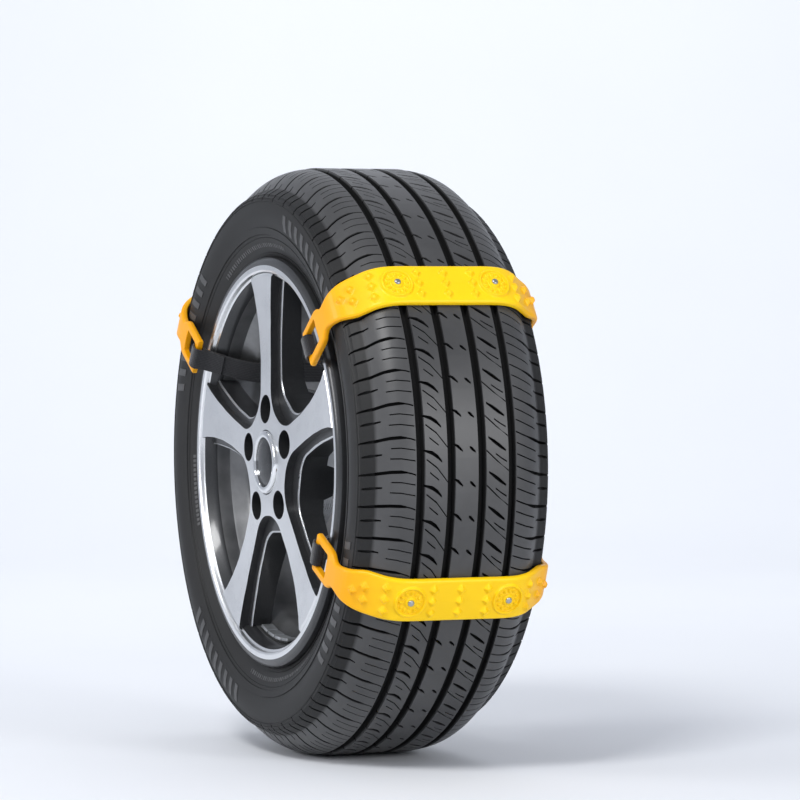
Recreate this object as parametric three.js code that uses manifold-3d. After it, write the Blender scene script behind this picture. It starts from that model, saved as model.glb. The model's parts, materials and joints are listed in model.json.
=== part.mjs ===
// A passenger-car tyre on a five-spoke alloy wheel, dressed with three moulded anti-skid belts.
// Millimetres. The origin is the wheel's centre, +Y runs along the wheel's axis towards the car,
// -Y is the side seen from outside, +Z is up. Angles round the wheel run from +X towards +Z.

import * as THREE from "three";
import { mergeVertices } from "three/addons/utils/BufferGeometryUtils.js";
import Module from "manifold-3d";

const wasm = await Module();
wasm.setup();

// ---------- Driving dimensions ----------

// The tyre, 205/55R16
const TYRE_RADIUS = 316;
const TREAD_FLAT = 46; // half width of the part of the tread with no crown drop
const SHOULDER_DROP = 22.4; // how far the crown has fallen at SHOULDER_Y
const SHOULDER_Y = 90;
const SHOULDER_POWER = 5.75;
const GROOVE_DEPTH = 8;
const GROOVE_HALF_WIDTH = 4.5;
const GROOVE_TAPER = 1.3;
const INNER_GROOVE_Y = 17;
const OUTER_GROOVE_Y = 50.5;
const ROUND_SEGMENTS = 40; // facets of the large round shapes, with a flat one at the bottom

// The wheel, 16 x 7J, offset 45
const BEAD_SEAT_RADIUS = 203.2;
const FLANGE_RADIUS = 220.5;
const RIM_HALF_WIDTH = 88.9;
const OUTER_LIP_Y = -102;
const INNER_LIP_Y = 98;
const WELL_RADIUS = 185.7;
const HUB_FACE_Y = -45;
const HUB_FRONT_Y = -97;
const HUB_RADIUS = 76;
const CENTRE_BORE_RADIUS = 33.5;
const SPOKE_COUNT = 5;
const SPOKE_ANGLE = 93.4;
const SPOKE_FACE_Y = -99;
const SPOKE_SHELF_Y = -90;
const SPOKE_BACK_Y = -66;
const LUG_CIRCLE_RADIUS = 57.15;
const LUG_POCKET_RADIUS = 13.5;
const LUG_HOLE_RADIUS = 7.25;
const LUG_SEAT_Y = -62;

// The centre cap
const CAP_RADIUS = 34;
const CAP_FRONT_Y = -103;
const CAP_SEAT_Y = -92.5;
const CAP_SKIRT_RADIUS = 32.6;
const CAP_SKIRT_WALL = 2;
const CAP_SKIRT_END_Y = -78;
const CAP_RING_WIRE = 0.9;

// The valve, which stands square to the rim's outer well wall
const VALVE_ANGLE = -10;
const VALVE_WALL_RADIUS = 190.9;
const VALVE_WALL_Y = -59.5;
const VALVE_TILT = 48.8; // from the wheel's axis towards the centre
const VALVE_HOLE_RADIUS = 5.7;

// The stick-on balance weights
const WEIGHT_COUNT = 4;
const WEIGHT_ANGLE = -97;
const WEIGHT_PITCH = 6.2;
const WEIGHT_Y = -75;
const TAPE_RADIUS = 194.3;
const TAPE_HALF_WIDTH = 6.8;
const WEIGHT_SIZE = [18, 13, 3.8];
const TAPE_THICKNESS = 0.8;

// The anti-skid belts
const BELTS = { upper: 36.5, lower: -24, rear: 148 };
const PAD_THICKNESS = 6.8;
const PAD_HALF_WIDTH = 23.5;
const NECK_HALF_WIDTH = 14;
const LOOP_HALF_WIDTH = 21;
const PAD_FULL_LENGTH = 95; // along the pad from its middle to where the taper starts
const NECK_LENGTH = 140;
const LOOP_ROOT_LENGTH = 150;
const LOOP_INNER_Y = 111;
const LOOP_END_RADIUS = 207;
const LOOP_BAR = 8;
const SLOT_TOP_RADIUS = 243;
const SLOT_HALF_WIDTH = 13.2;
const BOSS_LENGTH = 53.5;
const BOSS_RADIUS = 17;
const BOSS_HEIGHT = 1.6;
const STUD_RADIUS = 3.5;
const STUD_DEPTH = 5;
const STUD_PROUD = 1.6;
const STUD_SEGMENTS = 8;
const CLEAT_RADIUS = 5.8;
const CLEAT_HEIGHT = 3.5;
const CLEAT_ROW = 13;

// The webbing
const WEB_WIDTH = 25;
const WEB_THICKNESS = 2;
const WEB_GAP = 0.5; // between the webbing and the bar that it is sewn round
const WEB_RUN_RADIUS = 175;

// The cam buckles
const BUCKLE_START_Y = 30;
const BUCKLE_END_Y = 77;
const BUCKLE_HALF_WIDTH = 15.6;
const BUCKLE_SHEET = 1.6;
const BUCKLE_BASE_RADIUS = 176.4;
const BUCKLE_STEP = 4.2;
const PIN_Y = 47;
const PIN_RADIUS_FROM_AXIS = 166;
const PIN_RADIUS = 2;
const CAM_RADIUS = 7.6;
const EAR_RADIUS = 6;
const LEVER_LENGTH = 36;
const SPRING_HALF_WIDTH = 4.5;
const SPRING_RADIUS = 3.6;

const GAP = 0.4; // clearance between neighbouring pieces

// ---------- Materials ----------

function finish(color, roughness, metalness) {
  return new THREE.MeshStandardMaterial({ color, roughness, metalness });
}

const RUBBER = finish(0x1b1b1d, 0.75, 0);
const ALLOY = finish(0xb9bcc0, 0.28, 1);
const CAP_FINISH = finish(0x8d9094, 0.3, 0.9);
const SPRING_STEEL = finish(0x77797c, 0.35, 1);
const BRASS = finish(0xb08d4a, 0.35, 1);
const CAP_PLASTIC = finish(0x151515, 0.5, 0);
const LEAD_FREE = finish(0x9a9c9e, 0.45, 0.8);
const FOAM_TAPE = finish(0x2a2a2c, 0.9, 0);
const YELLOW_TPU = finish(0xffd916, 0.42, 0);
const STUD_STEEL = finish(0x8c8f92, 0.3, 1);
const WEBBING = finish(0x141416, 0.85, 0);
const BLACK_OXIDE = finish(0x26272a, 0.4, 0.9);

// ---------- Tools ----------

const X = new THREE.Vector3(1, 0, 0);
const Y = new THREE.Vector3(0, 1, 0);
const Z = new THREE.Vector3(0, 0, 1);

function radians(degrees) {
  return (degrees * Math.PI) / 180;
}

// The turn about Y that carries +Z to an angle round the wheel.
function turnTo(angle) {
  return radians(90 - angle);
}

function toSolid(geometry) {
  const bare = geometry.index ? geometry.toNonIndexed() : geometry.clone();
  bare.deleteAttribute("normal");
  bare.deleteAttribute("uv");
  const merged = mergeVertices(bare, 1e-3);
  const mesh = new wasm.Mesh({
    numProp: 3,
    vertProperties: merged.attributes.position.array,
    triVerts: new Uint32Array(merged.index.array),
  });
  return new wasm.Manifold(mesh);
}

function toGeometry(solid) {
  const mesh = solid.getMesh();
  const geometry = new THREE.BufferGeometry();
  geometry.setAttribute("position", new THREE.BufferAttribute(mesh.vertProperties, 3));
  geometry.setIndex(new THREE.BufferAttribute(mesh.triVerts, 1));
  geometry.computeVertexNormals();
  return geometry;
}

function join(geometries) {
  return geometries.map(toSolid).reduce((whole, piece) => whole.add(piece));
}

function cut(solid, geometries) {
  return geometries.reduce((whole, tool) => whole.subtract(toSolid(tool)), solid);
}

// A solid of revolution about Y from [radius, y] points, which close on themselves or on the axis.
// Its flats, not its corners, lie at the stated radii.
function revolve(points, segments) {
  const spread = 1 / Math.cos(Math.PI / segments);
  let area = 0;
  points.forEach(([r, y], i) => {
    const [nextR, nextY] = points[(i + 1) % points.length];
    area += r * nextY - nextR * y;
  });
  const ordered = area > 0 ? points : [...points].reverse();
  const outline = [...ordered, ordered[0]].map(([r, y]) => new THREE.Vector2(r * spread, y));
  return new THREE.LatheGeometry(outline, segments, Math.PI / segments);
}

// A flat outline of [y, z] points, pushed out along X to a width centred on x = 0.
function extrudeSide(points, width, hole) {
  const shape = new THREE.Shape(points.map(([y, z]) => new THREE.Vector2(y, z)));
  if (hole) shape.holes.push(new THREE.Path(hole.map(([y, z]) => new THREE.Vector2(y, z))));
  const geometry = new THREE.ExtrudeGeometry(shape, { depth: width, bevelEnabled: false });
  return geometry.translate(0, 0, -width / 2).applyMatrix4(new THREE.Matrix4().makeBasis(Y, Z, X));
}

// A flat outline of [x, z] points, pushed from one y towards a lower one.
function extrudePlan(points, highY, lowY) {
  const shape = new THREE.Shape(points.map(([x, z]) => new THREE.Vector2(x, z)));
  const geometry = new THREE.ExtrudeGeometry(shape, { depth: highY - lowY, bevelEnabled: false });
  const towardsLowY = Y.clone().negate();
  return geometry.applyMatrix4(new THREE.Matrix4().makeBasis(X, Z, towardsLowY)).translate(0, highY, 0);
}

// The outline of a band of even thickness along a line of [y, z] points.
function bandOutline(points, thickness) {
  const line = points.map(([y, z]) => new THREE.Vector2(y, z));
  const sides = line.map((point, i) => {
    const before = line[Math.max(i - 1, 0)];
    const after = line[Math.min(i + 1, line.length - 1)];
    const into = point.clone().sub(before).normalize();
    const out = after.clone().sub(point).normalize();
    const along = into.add(out).normalize();
    const corner = i > 0 && i < line.length - 1 ? Math.max(along.dot(out), 0.5) : 1;
    const offset = new THREE.Vector2(-along.y, along.x).multiplyScalar(thickness / 2 / corner);
    return [point.clone().add(offset), point.clone().sub(offset)];
  });
  const left = sides.map(([a]) => [a.x, a.y]);
  const right = sides.map(([, b]) => [b.x, b.y]);
  return [...left, ...right.reverse()];
}

// A closed skin over a row of sections, each the same number of points round one convex loop.
function skin(sections) {
  const count = sections[0].length;
  const points = sections.flat();
  const faces = [];
  for (let row = 0; row + 1 < sections.length; row += 1) {
    for (let i = 0; i < count; i += 1) {
      const a = row * count + i;
      const b = row * count + ((i + 1) % count);
      faces.push(a, b + count, b, a, a + count, b + count);
    }
  }
  const last = (sections.length - 1) * count;
  for (let i = 1; i + 1 < count; i += 1) {
    faces.push(0, i, i + 1, last, last + i + 1, last + i);
  }
  const geometry = new THREE.BufferGeometry().setFromPoints(points);
  geometry.setIndex(faces);
  return geometry;
}

function round(radius, length, segments) {
  return new THREE.CylinderGeometry(radius, radius, length, segments);
}

function box(low, high) {
  const size = high.map((value, i) => value - low[i]);
  const middle = high.map((value, i) => (value + low[i]) / 2);
  return new THREE.BoxGeometry(...size).translate(...middle);
}

function piece(name, geometry, material) {
  const mesh = new THREE.Mesh(geometry, material);
  mesh.name = name;
  return mesh;
}

// ---------- The tyre ----------

function crownRadius(y) {
  const drop = SHOULDER_DROP * (Math.abs(y) / SHOULDER_Y) ** SHOULDER_POWER;
  return Math.abs(y) <= TREAD_FLAT ? TYRE_RADIUS : TYRE_RADIUS - drop;
}

function grooveProfile(centreY) {
  const floor = TYRE_RADIUS - GROOVE_DEPTH;
  const near = centreY - GROOVE_HALF_WIDTH;
  const far = centreY + GROOVE_HALF_WIDTH;
  return [
    [crownRadius(near), near],
    [floor, near + GROOVE_TAPER],
    [floor, far - GROOVE_TAPER],
    [crownRadius(far), far],
  ];
}

function tyre() {
  const beadBase = BEAD_SEAT_RADIUS + GAP;
  const beadFace = RIM_HALF_WIDTH - GAP;
  const shoulder = [72, 82].map((y) => [crownRadius(y), y]);
  const sidewall = [
    [293.6, 90],
    [289, 98.5],
    [283, 104],
    [268, 107],
    [256, 105],
    [240, 100],
    [222.6, 92],
    [215, beadFace],
    [beadBase, beadFace],
    [beadBase, 75.5],
  ];
  const halfOuter = [...grooveProfile(INNER_GROOVE_Y), ...grooveProfile(OUTER_GROOVE_Y), ...shoulder, ...sidewall];
  const halfInner = [
    [222, 79],
    [262, 97],
    [278, 95],
    [294, 74],
    [298, 44],
  ];
  const half = [...halfOuter, ...halfInner];
  const mirrored = half.map(([r, y]) => [r, -y]).reverse();
  return piece("tyre", revolve([...half, ...mirrored], ROUND_SEGMENTS), RUBBER);
}

// ---------- The alloy wheel ----------

function rimGeometry() {
  const flangeTop = FLANGE_RADIUS;
  const outline = [
    [207, OUTER_LIP_Y],
    [213, OUTER_LIP_Y],
    [219, OUTER_LIP_Y + 2],
    [flangeTop, OUTER_LIP_Y + 5],
    [flangeTop, -92],
    [213, -RIM_HALF_WIDTH],
    [BEAD_SEAT_RADIUS, -RIM_HALF_WIDTH],
    [BEAD_SEAT_RADIUS, -70],
    [WELL_RADIUS, -50],
    [WELL_RADIUS, -16],
    [196, 20],
    [BEAD_SEAT_RADIUS, 62],
    [BEAD_SEAT_RADIUS, RIM_HALF_WIDTH],
    [213, RIM_HALF_WIDTH],
    [flangeTop, 91.5],
    [flangeTop, 95],
    [217, INNER_LIP_Y],
    [211, INNER_LIP_Y],
    [206.5, 94],
    [198, 84],
    [198, 64],
    [190.5, 20],
    [180, -14],
    [180, -52],
    [195, -68],
    [195, -82],
    [196, -90],
  ];
  return revolve(outline, ROUND_SEGMENTS);
}

function hubGeometry() {
  const outline = [
    [CENTRE_BORE_RADIUS, HUB_FRONT_Y - 1.5],
    [60, HUB_FRONT_Y - 1],
    [HUB_RADIUS - 2, HUB_FRONT_Y + 1],
    [HUB_RADIUS + 3, HUB_FRONT_Y + 9],
    [HUB_RADIUS + 3, -66],
    [HUB_RADIUS, HUB_FACE_Y],
    [CENTRE_BORE_RADIUS, HUB_FACE_Y],
  ];
  return revolve(outline, ROUND_SEGMENTS);
}

// A spoke's outline from the side that shows, from [radius, half width] stations.
function spokeOutline(stations) {
  const left = stations.map(([radius, half]) => [-half, radius]);
  const right = stations.map(([radius, half]) => [half, radius]);
  return [...right, ...left.reverse()];
}

function spokeGeometries() {
  const face = [[60, 17], [95, 16.5], [130, 18], [160, 20.5], [182, 24], [196, 28], [204, 30.5]];
  const shelf = [[60, 27], [95, 26.5], [130, 28.5], [160, 31], [182, 34], [196.5, 36.5]];
  const faceGeometry = extrudePlan(spokeOutline(face), SPOKE_SHELF_Y + 0.6, SPOKE_FACE_Y);
  const bodyGeometry = extrudePlan(spokeOutline(shelf), SPOKE_BACK_Y, SPOKE_SHELF_Y);
  return [faceGeometry, bodyGeometry];
}

function spokeAngles() {
  return Array.from({ length: SPOKE_COUNT }, (_, i) => SPOKE_ANGLE - (360 / SPOKE_COUNT) * i);
}

function lugTools(angle) {
  const frontY = HUB_FRONT_Y - 12;
  const backY = HUB_FACE_Y + 10;
  const pocket = round(LUG_POCKET_RADIUS, LUG_SEAT_Y - frontY, 16);
  const hole = round(LUG_HOLE_RADIUS, backY - frontY, 12);
  pocket.translate(0, (LUG_SEAT_Y + frontY) / 2, LUG_CIRCLE_RADIUS).rotateY(turnTo(angle));
  hole.translate(0, (backY + frontY) / 2, LUG_CIRCLE_RADIUS).rotateY(turnTo(angle));
  return [pocket, hole];
}

// Places a shape made along +Y on the valve's axis, with its y = 0 at the middle of the rim's wall.
function placeOnValveAxis(object) {
  const towardsTip = Math.PI - radians(VALVE_TILT);
  object.position.set(0, VALVE_WALL_Y, VALVE_WALL_RADIUS);
  object.rotation.set(-towardsTip, 0, 0);
  const group = new THREE.Group();
  group.rotation.y = turnTo(VALVE_ANGLE);
  group.add(object);
  group.updateMatrixWorld(true);
  return group;
}

function valveHoleTool() {
  const tool = new THREE.Mesh(round(VALVE_HOLE_RADIUS, 30, 12));
  placeOnValveAxis(tool);
  return tool.geometry.applyMatrix4(tool.matrixWorld);
}

function alloyWheel() {
  const spokes = spokeAngles().flatMap((angle) => {
    return spokeGeometries().map((geometry) => geometry.rotateY(turnTo(angle)));
  });
  const capSeatDepth = CAP_SEAT_Y - (HUB_FRONT_Y - 12);
  const capSeat = round(CAP_RADIUS + 2 * GAP, capSeatDepth, 24).translate(0, CAP_SEAT_Y - capSeatDepth / 2, 0);
  const tools = [capSeat, valveHoleTool(), ...spokeAngles().flatMap(lugTools)];
  const casting = cut(join([rimGeometry(), hubGeometry(), ...spokes]), tools);
  return piece("alloy_wheel", toGeometry(casting), ALLOY);
}

// ---------- Cap, valve and balance weights ----------

function centreCap() {
  const skirtInner = CAP_SKIRT_RADIUS - CAP_SKIRT_WALL;
  const outline = [
    [0, CAP_FRONT_Y + 0.6],
    [24, CAP_FRONT_Y + 0.6],
    [26, CAP_FRONT_Y],
    [31.5, CAP_FRONT_Y],
    [CAP_RADIUS, CAP_FRONT_Y + 2],
    [CAP_RADIUS, CAP_SEAT_Y - GAP],
    [CAP_SKIRT_RADIUS, CAP_SEAT_Y - GAP],
    [CAP_SKIRT_RADIUS, CAP_SKIRT_END_Y],
    [skirtInner, CAP_SKIRT_END_Y],
    [skirtInner, CAP_FRONT_Y + 4],
    [0, CAP_FRONT_Y + 4],
  ];
  return piece("centre_cap", revolve(outline, 24), CAP_FINISH);
}

// The open wire ring that spreads the cap's skirt.
function capRetainingRing() {
  const radius = CAP_SKIRT_RADIUS - CAP_SKIRT_WALL - GAP - CAP_RING_WIRE;
  const arc = new THREE.Curve();
  arc.getPoint = (t, target = new THREE.Vector3()) => {
    const angle = radians(10 + 340 * t);
    return target.set(radius * Math.cos(angle), -82, radius * Math.sin(angle));
  };
  const section = new THREE.Shape();
  section.absarc(0, 0, CAP_RING_WIRE, 0, Math.PI * 2);
  const settings = { steps: 24, extrudePath: arc, curveSegments: 3, bevelEnabled: false };
  return piece("cap_retaining_ring", new THREE.ExtrudeGeometry(section, settings), SPRING_STEEL);
}

function valvePieces() {
  const boreRadius = 1.9;
  const stem = [
    [boreRadius, -8.5],
    [8, -8.5],
    [8.6, -6],
    [VALVE_HOLE_RADIUS - GAP, -4.6],
    [VALVE_HOLE_RADIUS - GAP, 4.6],
    [8, 6],
    [7.4, 9],
    [5.6, 13],
    [5, 25],
    [3.9, 25.5],
    [3.9, 34],
    [boreRadius, 34],
  ];
  const core = [[0, -7], [1.4, -7], [1.4, 24], [0.8, 25], [0.8, 33.6], [0, 33.6]];
  const cap = [[5.2, 26.2], [5.2, 35.5], [4.2, 36.8], [0, 36.8], [0, 34.9], [4.3, 34.9], [4.3, 26.2]];
  return [
    placeOnValveAxis(piece("valve_stem", revolve(stem, 12), RUBBER)),
    placeOnValveAxis(piece("valve_core_pin", revolve(core, 8), BRASS)),
    placeOnValveAxis(piece("valve_cap", revolve(cap, 12), CAP_PLASTIC)),
  ];
}

function balanceWeights() {
  const [width, length, height] = WEIGHT_SIZE;
  const bevel = 1;
  const profile = [
    [-width / 2, 0],
    [width / 2, 0],
    [width / 2, -height + bevel],
    [width / 2 - bevel, -height],
    [-width / 2 + bevel, -height],
    [-width / 2, -height + bevel],
  ];
  return Array.from({ length: WEIGHT_COUNT }, (_, i) => {
    const block = extrudePlan(profile, length / 2, -length / 2);
    const weight = piece("balance_weight_" + (i + 1), block, LEAD_FREE);
    const holder = new THREE.Group();
    weight.position.set(0, WEIGHT_Y, TAPE_RADIUS - TAPE_THICKNESS - 1.5 * GAP);
    holder.rotation.y = turnTo(WEIGHT_ANGLE + WEIGHT_PITCH * (i - (WEIGHT_COUNT - 1) / 2));
    holder.add(weight);
    return holder;
  });
}

function weightTape() {
  const half = radians((WEIGHT_PITCH * WEIGHT_COUNT) / 2);
  const outer = TAPE_RADIUS;
  const inner = outer - TAPE_THICKNESS;
  const strip = new THREE.Shape();
  strip.absarc(0, 0, outer, Math.PI / 2 - half, Math.PI / 2 + half, false);
  strip.absarc(0, 0, inner, Math.PI / 2 + half, Math.PI / 2 - half, true);
  const points = strip.getPoints(8).map((point) => [point.x, point.y]);
  const unique = points.filter(([x, z], i) => {
    const [previousX, previousZ] = points[(i + points.length - 1) % points.length];
    return Math.hypot(x - previousX, z - previousZ) > 0.01;
  });
  const geometry = extrudePlan(unique, WEIGHT_Y + TAPE_HALF_WIDTH, WEIGHT_Y - TAPE_HALF_WIDTH).rotateY(turnTo(WEIGHT_ANGLE));
  return piece("weight_tape", geometry, FOAM_TAPE);
}

// ---------- The moulded pads ----------
// Belt pieces are made at the top of the wheel, where y and z lie along and across the tread,
// and their group then turns them to the belt's own angle.

// The pad's inner face, from its middle out to the end of its loop, as [y, z].
const PAD_ROUTE = [
  [0, 317.6],
  [50, 317.5],
  [64, 315.8],
  [76, 310.6],
  [85, 303],
  [93, 295.4],
  [101.4, 288.8],
  [107, 281.4],
  [109.7, 270],
  [110.4, 259],
  [LOOP_INNER_Y, 250],
  [LOOP_INNER_Y, LOOP_END_RADIUS],
];

function padStations() {
  let length = 0;
  const half = PAD_ROUTE.map(([y, z], i) => {
    const [lastY, lastZ] = PAD_ROUTE[Math.max(i - 1, 0)];
    const [nextY, nextZ] = PAD_ROUTE[Math.min(i + 1, PAD_ROUTE.length - 1)];
    length += Math.hypot(y - lastY, z - lastZ);
    const slope = i === 0 ? 0 : Math.atan2(nextZ - lastZ, nextY - lastY);
    return { length, y, z, normalY: -Math.sin(slope), normalZ: Math.cos(slope) };
  });
  const mirrored = half.slice(1).map((station) => {
    return { ...station, length: -station.length, y: -station.y, normalY: -station.normalY };
  });
  return [...mirrored.reverse(), ...half];
}

// The place on the pad's inner face at a length along it, and which way is out.
function padPlace(length) {
  const stations = padStations();
  const next = Math.max(1, stations.findIndex((station) => station.length >= length));
  const [a, b] = [stations[next - 1], stations[next]];
  const part = (length - a.length) / (b.length - a.length);
  const mix = (key) => a[key] + (b[key] - a[key]) * part;
  const angle = Math.atan2(-mix("normalY"), mix("normalZ"));
  return { y: mix("y"), z: mix("z"), normalY: -Math.sin(angle), normalZ: Math.cos(angle) };
}

function padHalfWidth(length) {
  const steps = [
    [0, PAD_HALF_WIDTH],
    [PAD_FULL_LENGTH, PAD_HALF_WIDTH],
    [NECK_LENGTH, NECK_HALF_WIDTH],
    [LOOP_ROOT_LENGTH, LOOP_HALF_WIDTH],
    [1000, LOOP_HALF_WIDTH],
  ];
  const distance = Math.abs(length);
  const next = Math.max(1, steps.findIndex(([at]) => at >= distance));
  const [fromLength, fromWidth] = steps[next - 1];
  const [toLength, toWidth] = steps[next];
  return fromWidth + ((toWidth - fromWidth) * (distance - fromLength)) / (toLength - fromLength);
}

function padSection(length) {
  const { y, z, normalY, normalZ } = padPlace(length);
  const half = padHalfWidth(length);
  const corner = (x, height) => {
    const fall = (normalZ * x * x) / (2 * TYRE_RADIUS);
    return new THREE.Vector3(x, y + normalY * height, z + normalZ * height - fall);
  };
  return [
    corner(-half, 0),
    corner(0, 0),
    corner(half, 0),
    corner(half, PAD_THICKNESS),
    corner(0, PAD_THICKNESS),
    corner(-half, PAD_THICKNESS),
  ];
}

// Moves a shape made along +Y onto the pad, standing on a height above its inner face.
function standOnPad(geometry, length, x, height) {
  const { y, z, normalY, normalZ } = padPlace(length);
  const fall = (normalZ * x * x) / (2 * TYRE_RADIUS);
  const turn = Math.atan2(normalZ, normalY);
  geometry.rotateX(turn);
  return geometry.translate(x, y + normalY * height, z + normalZ * height - fall);
}

function cleatPlaces() {
  const rows = [-CLEAT_ROW, 0, CLEAT_ROW];
  const columns = [-77, -30, 0, 30, 77].flatMap((length) => rows.map((x) => [length, x]));
  const ends = [-1, 1].flatMap((side) => [
    [side * 99, -7.5],
    [side * 99, 7.5],
    [side * 111, 0],
  ]);
  return [...columns, ...ends];
}

function cleatGeometry(length, x) {
  const sunk = 1;
  const height = CLEAT_HEIGHT + sunk;
  const diamond = new THREE.CylinderGeometry(CLEAT_RADIUS - 1, CLEAT_RADIUS, height, 4);
  return standOnPad(diamond, length, x, PAD_THICKNESS + height / 2 - sunk);
}

function bossGeometries(length) {
  const sunk = 1;
  const disc = round(BOSS_RADIUS, BOSS_HEIGHT + sunk, 14);
  const collar = round(STUD_RADIUS + 3, BOSS_HEIGHT + 1 + sunk, 8);
  return [
    standOnPad(disc, length, 0, PAD_THICKNESS + (BOSS_HEIGHT - sunk) / 2),
    standOnPad(collar, length, 0, PAD_THICKNESS + (BOSS_HEIGHT + 1 - sunk) / 2),
  ];
}

function studHole(length) {
  const cornerRadius = (STUD_RADIUS + 2 * GAP) / Math.cos(Math.PI / STUD_SEGMENTS);
  const tool = round(cornerRadius, 20, STUD_SEGMENTS);
  return standOnPad(tool, length, 0, PAD_THICKNESS - STUD_DEPTH + 10);
}

function slotTool(side) {
  const floor = LOOP_END_RADIUS + LOOP_BAR;
  const near = side > 0 ? LOOP_INNER_Y - 20 : -LOOP_INNER_Y - 30;
  return box([-SLOT_HALF_WIDTH, near, floor], [SLOT_HALF_WIDTH, near + 50, SLOT_TOP_RADIUS]);
}

function tractionPad(belt) {
  const lengths = padStations().map((station) => station.length);
  const extra = [-NECK_LENGTH, -LOOP_ROOT_LENGTH, LOOP_ROOT_LENGTH, NECK_LENGTH];
  const ordered = [...lengths, ...extra].sort((a, b) => a - b);
  const web = skin(ordered.map(padSection));
  const cleats = cleatPlaces().map(([length, x]) => cleatGeometry(length, x));
  const bosses = [-BOSS_LENGTH, BOSS_LENGTH].flatMap(bossGeometries);
  const tools = [slotTool(-1), slotTool(1), studHole(-BOSS_LENGTH), studHole(BOSS_LENGTH)];
  const solid = cut(join([web, ...bosses, ...cleats]), tools);
  return piece("traction_pad_" + belt, toGeometry(solid), YELLOW_TPU);
}

function stud(name, length) {
  const top = STUD_DEPTH + BOSS_HEIGHT + 1 + STUD_PROUD;
  const outline = [[0, GAP], [STUD_RADIUS, GAP], [STUD_RADIUS, top - 1], [STUD_RADIUS - 1, top], [0, top]];
  const geometry = standOnPad(revolve(outline, STUD_SEGMENTS), length, 0, PAD_THICKNESS - STUD_DEPTH);
  return piece(name, geometry, STUD_STEEL);
}

// ---------- The webbing ----------

// The turn of webbing sewn round a bar that fills [low, high] in y and z.
function sewnTurn(low, high, gap) {
  const ring = (grow, corner) => {
    const [y0, z0] = low.map((value) => value - grow);
    const [y1, z1] = high.map((value) => value + grow);
    return [
      [y0 + corner, z0],
      [y1 - corner, z0],
      [y1, z0 + corner],
      [y1, z1 - corner],
      [y1 - corner, z1],
      [y0 + corner, z1],
      [y0, z1 - corner],
      [y0, z0 + corner],
    ];
  };
  return extrudeSide(ring(gap + WEB_THICKNESS, 1.8), WEB_WIDTH, ring(gap, 0.3));
}

function loopBar(side) {
  const nearY = LOOP_INNER_Y;
  const farY = LOOP_INNER_Y + PAD_THICKNESS;
  const low = [side > 0 ? nearY : -farY, LOOP_END_RADIUS];
  const high = [side > 0 ? farY : -nearY, LOOP_END_RADIUS + LOOP_BAR];
  return [low, high];
}

function longStrap(belt) {
  const route = [
    [-112, 205],
    [-104, 202],
    [-84, 188],
    [-54, WEB_RUN_RADIUS],
    [BUCKLE_END_Y + 24, WEB_RUN_RADIUS],
  ];
  const run = extrudeSide(bandOutline(route, WEB_THICKNESS), WEB_WIDTH);
  const solid = join([sewnTurn(...loopBar(-1), WEB_GAP), run]);
  return piece("long_strap_" + belt, toGeometry(solid), WEBBING);
}

function tabStrap(belt) {
  const [barLow, barHigh] = buckleBar();
  const route = [
    [barHigh[0] + 1.2, barHigh[1] + 0.6],
    [103, 202.6],
    [112, 205],
  ];
  const run = extrudeSide(bandOutline(route, WEB_THICKNESS), WEB_WIDTH);
  const solid = join([sewnTurn(...loopBar(1), WEB_GAP), sewnTurn(barLow, barHigh, WEB_GAP), run]);
  return piece("tab_strap_" + belt, toGeometry(solid), WEBBING);
}

// ---------- The cam buckles ----------

// The cross bar at the buckle's end, as its lowest and highest y and z.
function buckleBar() {
  const base = BUCKLE_BASE_RADIUS + BUCKLE_STEP;
  return [
    [BUCKLE_END_Y - 5, base],
    [BUCKLE_END_Y, base + BUCKLE_SHEET],
  ];
}

function buckleBody(belt) {
  const lower = BUCKLE_BASE_RADIUS;
  const upper = lower + BUCKLE_STEP;
  const sheet = BUCKLE_SHEET;
  const basePlate = [
    [BUCKLE_START_Y, lower],
    [59, lower],
    [64, upper],
    [BUCKLE_END_Y, upper],
    [BUCKLE_END_Y, upper + sheet],
    [63.4, upper + sheet],
    [58.4, lower + sheet],
    [BUCKLE_START_Y, lower + sheet],
  ];
  const ear = [
    [BUCKLE_START_Y + 3, lower + sheet],
    [PIN_Y - EAR_RADIUS, PIN_RADIUS_FROM_AXIS],
    [PIN_Y - EAR_RADIUS * 0.7, PIN_RADIUS_FROM_AXIS - EAR_RADIUS * 0.7],
    [PIN_Y, PIN_RADIUS_FROM_AXIS - EAR_RADIUS],
    [PIN_Y + EAR_RADIUS * 0.7, PIN_RADIUS_FROM_AXIS - EAR_RADIUS * 0.7],
    [PIN_Y + EAR_RADIUS, PIN_RADIUS_FROM_AXIS],
    [57.5, lower + sheet],
  ];
  const width = 2 * BUCKLE_HALF_WIDTH;
  const earX = BUCKLE_HALF_WIDTH - sheet / 2;
  const ears = [-earX, earX].map((x) => extrudeSide(ear, sheet).translate(x, 0, 0));
  const [barLow] = buckleBar();
  const slotWall = 2.4;
  const slot = box(
    [-BUCKLE_HALF_WIDTH + slotWall, barLow[0] - 5, upper - 3],
    [BUCKLE_HALF_WIDTH - slotWall, barLow[0], upper + 6],
  );
  const pinHole = round(PIN_RADIUS + GAP / 2, 60, 12);
  pinHole.rotateZ(Math.PI / 2).translate(0, PIN_Y, PIN_RADIUS_FROM_AXIS);
  const solid = cut(join([extrudeSide(basePlate, width), ...ears]), [slot, pinHole]);
  return piece("buckle_body_" + belt, toGeometry(solid), BLACK_OXIDE);
}

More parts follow.
